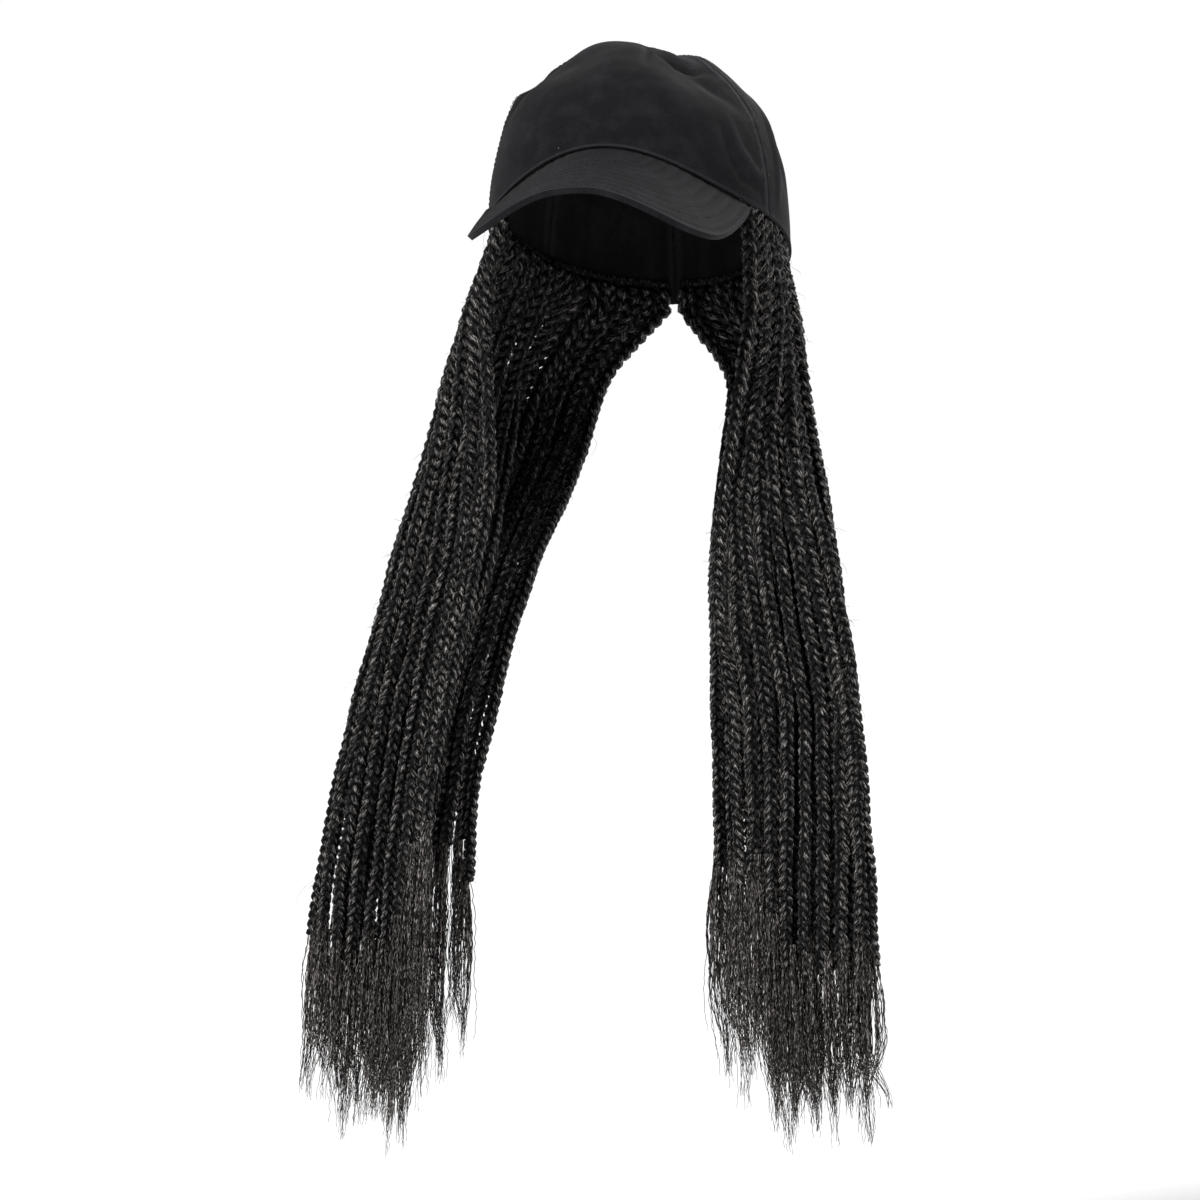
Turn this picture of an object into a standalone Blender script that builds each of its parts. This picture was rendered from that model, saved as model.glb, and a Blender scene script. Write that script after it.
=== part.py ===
"""Braid wig: a soft baseball cap with long box braids sewn inside its rim.

Metres, +Z up. The peak points along -Y and +X is the wearer's left. The origin is the middle
of the head opening. The crown is five sewn panels of cotton twill, and the braids hang from
six backing strips inside the rim, parted at the back and laid over both shoulders.
"""
import math

import bmesh
import bpy
from mathutils import Vector

# Crown
CROWN_HALF_WIDTH = 0.0870
CROWN_HALF_LENGTH = 0.1000
CROWN_HEIGHT = 0.1080
CROWN_FULLNESS = 2.3
FIRM_CLIMB = 0.30
CLOTH = 0.0018
OPENING_RISE = 0.0300
FOREHEAD_ARCH = 0.0140
SIDE_SEAM_TURN = 71.0
BACK_SEAM_TURN = 126.0
BUTTON_RADIUS = 0.0065
PANEL_HOLE_RADIUS = 0.0039
BUTTON_HEIGHT = 0.0030

# Peak
PEAK_LENGTH = 0.0660
PEAK_HALF_WIDTH = 0.0770
PEAK_DROP = 0.0290
PEAK_SAG = 0.0500
PEAK_THICKNESS = 0.0035
PEAK_TURN = 57.0
PEAK_SQUARENESS = 3.0
PEAK_SHOULDER = 0.0600

# Braids
HAIR_DROP = 0.5250
CURTAIN_REACH = 0.1500
CHEST_DEPTH = 0.1000
LOCK_RADIUS = 0.0030
LOCK_TIP_RADIUS = 0.0007
STRIP_HEIGHT = 0.0120
STRIP_THICKNESS = 0.0015
STRIP_LIFT = 0.0020
ROOT_LENGTH = 0.0080
ROOT_EXIT = 0.0040

# Colours, linear
TWILL_COLOUR = (0.020, 0.019, 0.021)
HAIR_COLOUR = (0.012, 0.011, 0.011)

# Clearances
GAP = 0.0003
SEAM_GAP = 0.0005
PEAK_SEAM_GAP = 0.0007
ROW_GAP = 0.0018

ROOT_INSET = CLOTH + 2 * GAP + LOCK_RADIUS

# Mesh fineness
DEGREES_PER_COLUMN = 9.0
PANEL_ROWS = 10
PEAK_COLUMNS = 20
PEAK_ROWS = 5
STRIP_COLUMNS = 6
LOCK_BEVEL_RESOLUTION = 1
MERGE_DISTANCE = 1e-6
# Climb at which the slope under the button is read
NEAR_TOP = 0.97

# Humps (+) and dents (-) of the soft crown. Columns: name, turn from the front in degrees,
# climb from rim to top as a share, spread as a share of CROWN_HALF_WIDTH, and height as a
# share of CROWN_HEIGHT.
CROWN_FOLDS = (
    ("front hump", -14.0, 0.84, 0.36, 0.045),
    ("pinch beside the hump", 72.0, 0.87, 0.15, -0.060),
    ("full left back", 108.0, 0.66, 0.40, 0.050),
    ("right shoulder", -73.0, 0.55, 0.32, 0.034),
    ("hollow over the left temple", 44.0, 0.58, 0.26, -0.040),
    ("hollow over the right brow", -34.0, 0.62, 0.20, -0.025),
    ("slack at the back", 180.0, 0.62, 0.42, -0.050),
    ("right back hollow", -122.0, 0.50, 0.28, -0.030),
)

# The curtain of braids on each side, from the ear down. Columns: name, level below the opening
# as a share of HAIR_DROP, inner and outer edge and sideways lean to the right as shares of
# CURTAIN_REACH, front layer's depth and spacing of layers as shares of CHEST_DEPTH, and how far
# the braids have left the line of their roots sideways and forwards.
STATIONS = (
    ("ear", 0.096, 0.50, 0.75, 0.06, 0.35, 0.55, 0.50, 0.25),
    ("jaw", 0.228, 0.38, 0.80, 0.06, 0.45, 0.42, 0.80, 0.75),
    ("shoulder", 0.354, 0.35, 0.86, 0.03, 0.68, 0.23, 1.00, 1.00),
    ("chest", 0.504, 0.42, 0.97, 0.02, 0.95, 0.12, 1.00, 1.00),
    ("rib", 0.627, 0.46, 1.02, 0.04, 1.05, 0.12, 1.00, 1.00),
    ("waist", 0.741, 0.46, 1.06, 0.05, 1.08, 0.12, 1.00, 1.00),
    ("hem", 1.000, 0.48, 1.11, 0.05, 1.10, 0.12, 1.00, 1.00),
)

# Wefts on each side. Columns: name, first and last turn of the roots in degrees, braids,
# place of the first and the last braid across the curtain, and layer from the front.
WEFTS = (
    ("temple", 62.0, 86.0, 8, 0.20, 0.95, 0),
    ("side", 90.5, 125.0, 11, 1.00, 0.34, 1),
    ("nape", 130.5, 175.0, 10, 0.60, 0.00, 2),
)

# Where the braiding ends and where the tips end. Columns: place across the curtain, end of the
# braiding on the right and on the left, and tip, as shares of HAIR_DROP.
LENGTHS = (
    (0.00, 0.694, 0.710, 0.952),
    (0.30, 0.684, 0.689, 0.955),
    (0.45, 0.766, 0.771, 1.000),
    (0.80, 0.777, 0.782, 0.985),
    (1.00, 0.741, 0.813, 0.955),
)

# Points along a braid. Columns: level below the opening as a share of HAIR_DROP, and width as
# a share of LOCK_RADIUS.
BRAID_STEPS = (
    (0.096, 0.95), (0.161, 1.00), (0.228, 1.00), (0.291, 1.00), (0.354, 0.98), (0.427, 0.95),
    (0.504, 0.92),
)
# Points of the loose end. Columns: share of the way from the braiding to the tip, and width as
# a share of LOCK_RADIUS.
TUFT_STEPS = ((0.00, 0.82), (0.50, 0.90))
ROOT_WIDTH = 0.86


def clear_scene():
    for item in list(bpy.data.objects):
        bpy.data.objects.remove(item, do_unlink=True)


def new_collection(name):
    made = bpy.data.collections.new(name)
    bpy.context.scene.collection.children.link(made)
    return made


def new_material(name, colour, roughness):
    material = bpy.data.materials.new(name)
    material.use_nodes = True
    shader = material.node_tree.nodes["Principled BSDF"]
    shader.inputs["Base Color"].default_value = (*colour, 1.0)
    shader.inputs["Roughness"].default_value = roughness
    shader.inputs["Metallic"].default_value = 0.0
    return material


def rim_height(turn):
    """Height of the rim at a turn from the front, in radians: tilted, and arched over the brow."""
    height = OPENING_RISE * math.cos(turn)
    share = abs(turn) / math.radians(PEAK_TURN)
    if share < 1.0:
        height += FOREHEAD_ARCH * math.cos(share * math.pi / 2) ** 2
    return height


def smooth_crown_point(turn, climb, inset=0.0):
    """Point of the crown before its folds; climb is 0 at the rim and 1 at the top."""
    angle = climb * math.pi / 2
    reach = max(math.cos(angle), 0.0) ** (2 / CROWN_FULLNESS)
    rise = math.sin(angle) ** (2 / CROWN_FULLNESS)
    rim = rim_height(turn)
    return Vector((
        (CROWN_HALF_WIDTH - inset) * reach * math.sin(turn),
        -(CROWN_HALF_LENGTH - inset) * reach * math.cos(turn),
        rim + (CROWN_HEIGHT - rim) * rise,
    ))


def crown_point(turn, climb, inset=0.0):
    """Point of the crown with its humps and dents, which fade out at the firm rim."""
    point = smooth_crown_point(turn, climb, inset)
    push = 0.0
    for _, fold_turn, fold_climb, spread, height in CROWN_FOLDS:
        middle = smooth_crown_point(math.radians(fold_turn), fold_climb)
        distance = (point - middle).length / (spread * CROWN_HALF_WIDTH)
        push += height * CROWN_HEIGHT * math.exp(-distance ** 2)
    firm = min(climb / FIRM_CLIMB, 1.0)
    return point + push * firm ** 2 * (3 - 2 * firm) * point.normalized()


def wall_point(turn, height, inset):
    """Point inside the crown at a height over the rim, an inset away from its outer face."""
    rise = height / (CROWN_HEIGHT - rim_height(turn))
    climb = math.asin(rise ** (CROWN_FULLNESS / 2)) / (math.pi / 2)
    return crown_point(turn, climb, inset)


def mapped_sheet(name, columns, rows, place, thickness, material, home):
    """A grid laid on place(across, up) and given a wall on its inner side."""
    mesh = bpy.data.meshes.new(name)
    shape = bmesh.new()
    bmesh.ops.create_grid(shape, x_segments=columns, y_segments=rows, size=0.5)
    for vertex in shape.verts:
        vertex.co = place(vertex.co.x + 0.5, vertex.co.y + 0.5)
    shape.to_mesh(mesh)
    shape.free()
    mesh.shade_smooth()
    mesh.materials.append(material)
    piece = bpy.data.objects.new(name, mesh)
    home.objects.link(piece)
    wall = piece.modifiers.new("wall", "SOLIDIFY")
    wall.thickness = thickness
    wall.offset = -1.0
    wall.use_even_offset = True
    return piece


def make_panel(name, first, last, material, home):
    """One crown panel between two seams, given as turns in degrees."""
    columns = round((last - first) / DEGREES_PER_COLUMN)
    top_angle = math.acos((PANEL_HOLE_RADIUS / CROWN_HALF_WIDTH) ** (CROWN_FULLNESS / 2))
    top_climb = top_angle / (math.pi / 2)

    def place(across, up):
        climb = up * top_climb
        start, end = math.radians(first), math.radians(last)
        turn = start + (end - start) * across
        radius = smooth_crown_point(turn, climb).xy.length
        return crown_point(turn + (0.5 - across) * SEAM_GAP / radius, climb)

    return mapped_sheet(name, columns, PANEL_ROWS, place, CLOTH, material, home)


def make_button(material, home):
    """A low covered button that lies on the points of the panels."""
    top = crown_point(0.0, 1.0)
    ahead = crown_point(0.0, NEAR_TOP)
    aside = crown_point(math.pi / 2, NEAR_TOP)
    normal = (ahead - top).cross(aside - top).normalized()
    mesh = bpy.data.meshes.new("top_button")
    shape = bmesh.new()
    bmesh.ops.create_uvsphere(shape, u_segments=14, v_segments=8, radius=1.0)
    geometry = shape.verts[:] + shape.edges[:] + shape.faces[:]
    bmesh.ops.bisect_plane(
        shape, geom=geometry, dist=MERGE_DISTANCE,
        plane_co=(0, 0, 0), plane_no=(0, 0, 1), clear_inner=True,
    )
    bmesh.ops.holes_fill(shape, edges=shape.edges[:], sides=0)
    bmesh.ops.scale(shape, vec=(BUTTON_RADIUS, BUTTON_RADIUS, BUTTON_HEIGHT), verts=shape.verts[:])
    bmesh.ops.recalc_face_normals(shape, faces=shape.faces[:])
    shape.to_mesh(mesh)
    shape.free()
    mesh.shade_smooth()
    mesh.set_sharp_from_angle(angle=math.radians(40))
    mesh.materials.append(material)
    button = bpy.data.objects.new("top_button", mesh)
    button.location = top + normal * 2 * GAP
    button.rotation_mode = "QUATERNION"
    button.rotation_quaternion = normal.to_track_quat("Z", "Y")
    home.objects.link(button)
    return button


def peak_height(x, y):
    """Height of the peak's upper face: it drops forwards and bends down at both sides."""
    forward = (-y - CROWN_HALF_LENGTH) / PEAK_LENGTH
    bend = (x / PEAK_HALF_WIDTH) ** 2
    return OPENING_RISE + FOREHEAD_ARCH - PEAK_DROP * forward - PEAK_SAG * bend


def make_peak(material, home):
    """The bill, from the rim over the brow to its rounded front edge."""
    front = CROWN_HALF_LENGTH + PEAK_LENGTH

    def rim_point(across):
        turn = math.radians(PEAK_TURN) * across
        return Vector((
            (CROWN_HALF_WIDTH - CLOTH) * math.sin(turn),
            -(CROWN_HALF_LENGTH - CLOTH) * math.cos(turn),
            rim_height(turn) - PEAK_SEAM_GAP,
        ))

    def edge_point(across):
        turn = math.pi / 2 * across
        power = 2 / PEAK_SQUARENESS
        x = PEAK_HALF_WIDTH * math.copysign(abs(math.sin(turn)) ** power, turn)
        y = -PEAK_SHOULDER - (front - PEAK_SHOULDER) * math.cos(turn) ** power
        return Vector((x, y, peak_height(x, y)))

    def place(across, up):
        inner = rim_point(2 * across - 1)
        outer = edge_point(2 * across - 1)
        flat = outer.lerp(inner, up)
        bent = peak_height(flat.x, flat.y)
        seat = rim_height(math.radians(PEAK_TURN) * (2 * across - 1)) - PEAK_SEAM_GAP
        lift = seat - peak_height(inner.x, inner.y)
        return Vector((flat.x, flat.y, bent + lift * up))

    return mapped_sheet("peak", PEAK_COLUMNS, PEAK_ROWS, place, PEAK_THICKNESS, material, home)


def read_table(rows, where, column):
    """Smooth reading of one column of a table whose key column rises (Catmull-Rom)."""
    keys = [row[0] for row in rows]
    last = len(rows) - 1
    index = 0
    while index < last - 1 and where > keys[index + 1]:
        index += 1
    before, start, end, after = max(index - 1, 0), index, index + 1, min(index + 2, last)
    width = keys[end] - keys[start]
    share = min(max((where - keys[start]) / width, 0.0), 1.0)
    low, high = rows[start][column], rows[end][column]
    slope_in = (high - rows[before][column]) / (keys[end] - keys[before]) * width
    slope_out = (rows[after][column] - low) / (keys[after] - keys[start]) * width
    return (
        low * (1 - 3 * share ** 2 + 2 * share ** 3)
        + high * (3 * share ** 2 - 2 * share ** 3)
        + slope_in * (share - 2 * share ** 2 + share ** 3)
        + slope_out * (share ** 3 - share ** 2)
    )


def root_point(turn):
    """Where a braid leaves the rim, just clear of the crown's inner face."""
    point = wall_point(turn, 0.0, ROOT_INSET)
    return Vector((point.x, point.y, point.z - ROOT_EXIT))


def weft_turn(weft, share):
    """Turn of a root in radians; share runs from the weft's first braid to its last."""
    return math.radians(weft[1] + (weft[2] - weft[1]) * share)


def row_point(side, weft, share, station):
    """Place of a braid at a station, before it steps out of its row; x is away from the middle."""
    _, _, inner, outer, lean, depth, spacing, sideways, forwards = station
    across = weft[4] + (weft[5] - weft[4]) * share
    root = root_point(weft_turn(weft, share))
    x = (inner + (outer - inner) * across - lean * side) * CURTAIN_REACH
    y = (-depth + spacing * weft[6]) * CHEST_DEPTH
    return Vector((root.x + (x - root.x) * sideways, root.y + (y - root.y) * forwards))


def braid_table(side, weft, number):
    """A braid's own table of level, x and y, with every other braid just clear of its row.

    The levels near the ear follow the tilt of the rim.
    """
    step = 1 / (weft[3] - 1)
    share = number * step
    root = root_point(weft_turn(weft, share))
    table = [(-root.z, root.x, root.y)]
    last = len(STATIONS) - 1
    for index, station in enumerate(STATIONS):
        above, below = STATIONS[max(index - 1, 0)], STATIONS[min(index + 1, last)]
        here = row_point(side, weft, share, station)
        ahead = row_point(side, weft, share + step / 2, station)
        pitch = ahead - row_point(side, weft, share - step / 2, station)
        normal = Vector((pitch.y, -pitch.x)).normalized()
        drift = row_point(side, weft, share, below) - row_point(side, weft, share, above)
        steepness = drift.dot(normal) / ((below[1] - above[1]) * HAIR_DROP)
        room = (2 * LOCK_RADIUS + ROW_GAP) ** 2 - pitch.length_squared
        shift = math.sqrt(max(room, 0.0) * (1 + steepness ** 2)) / 2
        here += (-1) ** number * shift * normal
        table.append((station[1] * HAIR_DROP - root.z * (1 - station[8]), here.x, here.y))
    return table


def lock_points(side, weft, number):
    """Points and widths of one braid and its loose end; side is +1 for the left."""
    share = number / (weft[3] - 1)
    place = weft[4] + (weft[5] - weft[4]) * share
    table = braid_table(side, weft, number)
    end = read_table(LENGTHS, place, 1 if side < 0 else 2)
    tip = read_table(LENGTHS, place, 3)
    top = wall_point(weft_turn(weft, share), ROOT_LENGTH, ROOT_INSET)
    points = [(Vector((side * top.x, top.y, top.z)), ROOT_WIDTH)]
    levels = [(table[0][0] / HAIR_DROP, ROOT_WIDTH)]
    levels += BRAID_STEPS
    levels += [(end + (tip - end) * step, width) for step, width in TUFT_STEPS]
    levels += [(tip, LOCK_TIP_RADIUS / LOCK_RADIUS)]
    for level, width in levels:
        x = read_table(table, level * HAIR_DROP, 1)
        y = read_table(table, level * HAIR_DROP, 2)
        points.append((Vector((side * x, y, -level * HAIR_DROP)), width))
    return points


def make_lock(name, points, home):
    """A braid as a round bar along its points, made a mesh so that it can be joined."""
    curve = bpy.data.curves.new(name, "CURVE")
    curve.dimensions = "3D"
    curve.bevel_depth = LOCK_RADIUS
    curve.bevel_resolution = LOCK_BEVEL_RESOLUTION
    curve.use_fill_caps = True
    spline = curve.splines.new("POLY")
    spline.points.add(len(points) - 1)
    for knot, (place, width) in zip(spline.points, points):
        knot.co = (*place, 1.0)
        knot.radius = width
    guide = bpy.data.objects.new(name + "_route", curve)
    home.objects.link(guide)
    bpy.context.view_layer.update()
    evaluated = guide.evaluated_get(bpy.context.evaluated_depsgraph_get())
    mesh = bpy.data.meshes.new_from_object(evaluated)
    shape = bmesh.new()
    shape.from_mesh(mesh)
    bmesh.ops.remove_doubles(shape, verts=shape.verts[:], dist=MERGE_DISTANCE)
    bmesh.ops.recalc_face_normals(shape, faces=shape.faces[:])
    shape.to_mesh(mesh)
    shape.free()
    bpy.data.objects.remove(guide, do_unlink=True)
    lock = bpy.data.objects.new(name, mesh)
    lock.hide_render = True
    lock.display_type = "WIRE"
    home.objects.link(lock)
    return lock


def make_weft(side, weft, material, home, cutters):
    """A backing strip inside the rim with its braids fused to it."""
    name = ("left_" if side > 0 else "right_") + weft[0] + "_braids"
    margin = 0.5 / (weft[3] - 1)

    def place(across, up):
        share = across if side > 0 else 1 - across
        turn = weft_turn(weft, (1 + 2 * margin) * share - margin)
        point = wall_point(turn, STRIP_LIFT + STRIP_HEIGHT * up, CLOTH + 2 * GAP)
        return Vector((side * point.x, point.y, point.z))

    strip = mapped_sheet(name, STRIP_COLUMNS, 1, place, STRIP_THICKNESS, material, home)
    locks = bpy.data.collections.new(name + "_locks")
    cutters.children.link(locks)
    for number in range(weft[3]):
        make_lock(f"{name}_lock_{number + 1:02d}", lock_points(side, weft, number), locks)
    joined = strip.modifiers.new("locks", "BOOLEAN")
    joined.operation = "UNION"
    joined.solver = "EXACT"
    joined.operand_type = "COLLECTION"
    joined.collection = locks
    return strip


def main():
    clear_scene()
    cap = new_collection("braid_wig")
    cutters = new_collection("cutters")
    panels = (
        ("front_panel", -SIDE_SEAM_TURN, SIDE_SEAM_TURN),
        ("left_side_panel", SIDE_SEAM_TURN, BACK_SEAM_TURN),
        ("left_back_panel", BACK_SEAM_TURN, 180.0),
        ("right_back_panel", 180.0, 360.0 - BACK_SEAM_TURN),
        ("right_side_panel", 360.0 - BACK_SEAM_TURN, 360.0 - SIDE_SEAM_TURN),
    )
    for name, first, last in panels:
        make_panel(name, first, last, new_material(name + "_twill", TWILL_COLOUR, 0.85), cap)
    make_button(new_material("button_twill", TWILL_COLOUR, 0.85), cap)
    make_peak(new_material("peak_twill", TWILL_COLOUR, 0.80), cap)
    for side in (1, -1):
        for weft in WEFTS:
            make_weft(side, weft, new_material("synthetic_hair", HAIR_COLOUR, 0.55), cap, cutters)


if __name__ == "__main__":
    main()
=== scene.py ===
"""Looks of the braid wig: a washed cotton cap with long box braids sewn inside its rim.

Metres, +Z up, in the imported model's own frame: the peak points along -Y, +X is the wearer's
left, and the origin is the middle of the head opening. Cloth and hair follow the same curves
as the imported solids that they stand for. Laid out as an add-on: one operator makes each group
of like pieces, and the panel in the 3D view's sidebar lists them.
"""
import math
import random
from collections import namedtuple

import bmesh
import bpy
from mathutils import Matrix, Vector, kdtree, noise


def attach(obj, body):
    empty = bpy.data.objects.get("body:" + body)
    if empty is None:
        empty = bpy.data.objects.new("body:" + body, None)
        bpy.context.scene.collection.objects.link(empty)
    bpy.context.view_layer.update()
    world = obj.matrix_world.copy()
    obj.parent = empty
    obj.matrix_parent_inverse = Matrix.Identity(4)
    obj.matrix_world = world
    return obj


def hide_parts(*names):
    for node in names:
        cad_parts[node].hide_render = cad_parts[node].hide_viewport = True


bl_info = {
    "name": "Braid Wig",
    "version": (1, 0, 0),
    "blender": (4, 5, 0),
    "location": "View3D > Sidebar > Braid Wig",
    "description": "Cotton cap with box braids, dressed over its packed frame",
    "category": "Object",
}

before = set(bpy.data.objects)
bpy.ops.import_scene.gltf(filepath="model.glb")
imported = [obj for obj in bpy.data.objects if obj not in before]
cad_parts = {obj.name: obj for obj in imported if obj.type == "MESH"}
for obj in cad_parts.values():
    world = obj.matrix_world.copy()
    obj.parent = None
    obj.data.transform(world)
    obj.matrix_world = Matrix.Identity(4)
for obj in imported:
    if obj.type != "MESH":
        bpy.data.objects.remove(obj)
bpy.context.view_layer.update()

# The crown, peak and braids as the solids have them
CROWN_HALF_WIDTH = 0.0870
CROWN_HALF_LENGTH = 0.1000
CROWN_HEIGHT = 0.1080
CROWN_FULLNESS = 2.3
FIRM_CLIMB = 0.30
CLOTH = 0.0018
OPENING_RISE = 0.0300
FOREHEAD_ARCH = 0.0140
SIDE_SEAM_TURN = 71.0
BACK_SEAM_TURN = 126.0
BUTTON_RADIUS = 0.0065
PANEL_HOLE_RADIUS = 0.0039
BUTTON_HEIGHT = 0.0030
PEAK_LENGTH = 0.0660
PEAK_HALF_WIDTH = 0.0770
PEAK_DROP = 0.0290
PEAK_SAG = 0.0500
PEAK_THICKNESS = 0.0035
PEAK_TURN = 57.0
PEAK_SQUARENESS = 3.0
PEAK_SHOULDER = 0.0600
PEAK_SEAM_GAP = 0.0007
HAIR_DROP = 0.5250
CURTAIN_REACH = 0.1500
CHEST_DEPTH = 0.1000
LOCK_RADIUS = 0.0030
STRIP_HEIGHT = 0.0120
STRIP_THICKNESS = 0.0015
STRIP_LIFT = 0.0020
ROOT_LENGTH = 0.0080
ROOT_EXIT = 0.0040
GAP = 0.0003
ROW_GAP = 0.0018
ROOT_INSET = CLOTH + 2 * GAP + LOCK_RADIUS
NEAR_TOP = 0.97
MERGE_DISTANCE = 1e-6

# The panel seams, as turns from the front in degrees
SEAMS = (SIDE_SEAM_TURN, BACK_SEAM_TURN, 180.0, 360.0 - BACK_SEAM_TURN, 360.0 - SIDE_SEAM_TURN)

# The crown's cloth: its rows crowd towards the rim by this power, a column spans this turn in
# degrees, and its panels run this far past one another so that no light comes through a seam
CROWN_ROWS = 68
ROW_CROWDING = 1.3
COLUMN_TURN = 1.25
SEAM_OVERLAP = 0.0002

# Ribs of the twill are drawn wider than the real 0.5 mm, which the picture can't show
RIB_WIDTH = 0.0011

# The stitches: how far they stand from a seam, and how finely their lines are followed
SEAM_STITCH_OFFSET = 0.0045
SEAM_STEPS = 399
PEAK_ROW_STEPS = 360
PEAK_EDGE_STEPS = 4000
HALVINGS = 12

# Humps (+) and dents (-) of the soft crown: name, turn from the front in degrees, climb from
# rim to top, spread as a share of the half width, height as a share of the crown's height.
CROWN_FOLDS = (
    ("front hump", -14.0, 0.84, 0.36, 0.045),
    ("pinch beside the hump", 72.0, 0.87, 0.15, -0.060),
    ("full left back", 108.0, 0.66, 0.40, 0.050),
    ("right shoulder", -73.0, 0.55, 0.32, 0.034),
    ("hollow at the left front", 44.0, 0.58, 0.26, -0.040),
    ("hollow at the right front", -34.0, 0.62, 0.20, -0.025),
    ("slack at the back", 180.0, 0.62, 0.42, -0.050),
    ("right back hollow", -122.0, 0.50, 0.28, -0.030),
)

# Fine creases (-) and ridges (+): name, width and height in metres, and points as turn from
# the front in degrees and climb.
CREASES = (
    ("pinch by the left seam", 0.0022, -0.0024,
     ((28.0, 0.70), (38.0, 0.62), (48.0, 0.60), (62.0, 0.62))),
    ("roll over the pinch", 0.0040, 0.0020, ((32.0, 0.80), (44.0, 0.70), (58.0, 0.69))),
    ("crease on the hump", 0.0024, -0.0016, ((22.0, 0.86), (20.0, 0.74), (17.0, 0.56))),
    ("fold at the peak's left corner", 0.0026, -0.0020,
     ((47.0, 0.26), (51.0, 0.12), (56.0, 0.06), (66.0, 0.05))),
    ("ridge by that fold", 0.0028, 0.0018,
     ((53.0, 0.30), (56.0, 0.17), (62.0, 0.11), (69.0, 0.10))),
    ("left side fold", 0.0034, 0.0024,
     ((92.0, 0.50), (87.0, 0.32), (82.0, 0.17), (80.0, 0.07))),
    ("left side hollow", 0.0038, -0.0022, ((98.0, 0.48), (94.0, 0.30), (90.0, 0.14))),
    ("right side fold", 0.0045, 0.0016, ((-58.0, 0.62), (-66.0, 0.46), (-70.0, 0.30))),
    ("right side crease", 0.0040, -0.0014, ((-50.0, 0.70), (-57.0, 0.54), (-62.0, 0.36))),
    ("front crease", 0.0050, -0.0010, ((-8.0, 0.44), (6.0, 0.38), (20.0, 0.42))),
    ("front left crease", 0.0055, -0.0014, ((44.0, 0.56), (54.0, 0.46), (63.0, 0.38))),
    ("back crease", 0.0060, -0.0020, ((150.0, 0.60), (168.0, 0.52), (188.0, 0.56))),
    ("back left fold", 0.0060, 0.0020, ((132.0, 0.72), (146.0, 0.58), (152.0, 0.40))),
    ("back right fold", 0.0060, 0.0020, ((-132.0, 0.70), (-150.0, 0.54), (-156.0, 0.36))),
)

# Small humps (+) and dents (-): name, turn, climb, spread and height in metres
PUFFS = (
    ("flat top of the hump", -38.0, 0.82, 0.0130, 0.0019),
    ("fall beside the hump", -66.0, 0.57, 0.0130, -0.0042),
    ("puff at the right shoulder", -67.0, 0.45, 0.0055, 0.0014),
    ("step in the fall", -62.0, 0.63, 0.0050, 0.0011),
    ("dip behind the hump", 44.0, 0.82, 0.0060, -0.0022),
    ("rear hump", 72.0, 0.78, 0.0120, 0.0022),
    ("slope to the left back", 96.0, 0.60, 0.0150, -0.0026),
    ("puff over the left rim", 98.0, 0.24, 0.0160, 0.0010),
)

# The curtain of braids on each side, as the solids have it, at levels from the rim to the hem.
# A level is a share of the hair's drop. The inner and outer ends of a row and its lean towards
# one side are shares of the curtain's reach, and its depth and the spacing of the rows are
# shares of the hair's depth. Sideways and forwards say how far it has come from its roots.
Station = namedtuple("Station", "name level inner outer lean depth spacing sideways forwards")
STATIONS = (
    Station("rim bend", 0.096, 0.50, 0.75, 0.06, 0.35, 0.55, 0.50, 0.25),
    Station("upper fall", 0.228, 0.38, 0.80, 0.06, 0.45, 0.42, 0.80, 0.75),
    Station("turn forwards", 0.354, 0.35, 0.86, 0.03, 0.68, 0.23, 1.00, 1.00),
    Station("upper front", 0.504, 0.42, 0.97, 0.02, 0.95, 0.12, 1.00, 1.00),
    Station("middle front", 0.627, 0.46, 1.02, 0.04, 1.05, 0.12, 1.00, 1.00),
    Station("lower front", 0.741, 0.46, 1.06, 0.05, 1.08, 0.12, 1.00, 1.00),
    Station("hem", 1.000, 0.48, 1.11, 0.05, 1.10, 0.12, 1.00, 1.00),
)

# The wefts: the turns of their first and last braid in degrees, how many braids, the places of
# the first and last across the curtain, from 0 inside to 1 outside, and the row they hang in
Weft = namedtuple("Weft", "name first_turn last_turn braids first_place last_place row")
WEFTS = (
    Weft("temple", 62.0, 86.0, 8, 0.20, 0.95, 0),
    Weft("side", 90.5, 125.0, 11, 1.00, 0.34, 1),
    Weft("nape", 130.5, 175.0, 10, 0.60, 0.00, 2),
)

# Place across the curtain, and as shares of the hair's drop the level where the plaiting ends
# at the right and at the left, and the level where the loose hair ends
LENGTHS = (
    (0.00, 0.694, 0.710, 0.952),
    (0.30, 0.684, 0.689, 0.955),
    (0.45, 0.766, 0.771, 1.000),
    (0.80, 0.777, 0.782, 0.985),
    (1.00, 0.741, 0.813, 0.955),
)

# How far the braids hang outwards (+) or inwards (-) of the solids' curves, in metres: level
# under the rim, the right side's outer and inner braids, the left side's outer braids
HANG = (
    (0.000, 0.0000, 0.0000, 0.0000),
    (0.060, 0.0040, 0.0000, -0.0030),
    (0.130, 0.0034, 0.0010, -0.0030),
    (0.200, -0.0014, 0.0058, 0.0000),
    (0.270, -0.0024, 0.0082, 0.0018),
    (0.350, -0.0006, 0.0082, 0.0010),
    (0.450, -0.0014, 0.0080, -0.0016),
    (0.530, -0.0014, 0.0120, -0.0016),
)

# A braid's middle line has a point at each of these steps down. Neighbours step out of their
# row by this share of what the solids' round locks need, as soft braids lie closer.
ROUTE_STEP = 0.0035
ROW_CLOSENESS = 0.7

# The plait, as shares of the braid's width: how far a strand swings sideways and in depth, and
# its radius. It has so many rings to one full round.
STRAND_SWING = 0.262
STRAND_DEPTH = 0.215
STRAND_RADIUS = 0.238
RINGS_A_ROUND = 9

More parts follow.
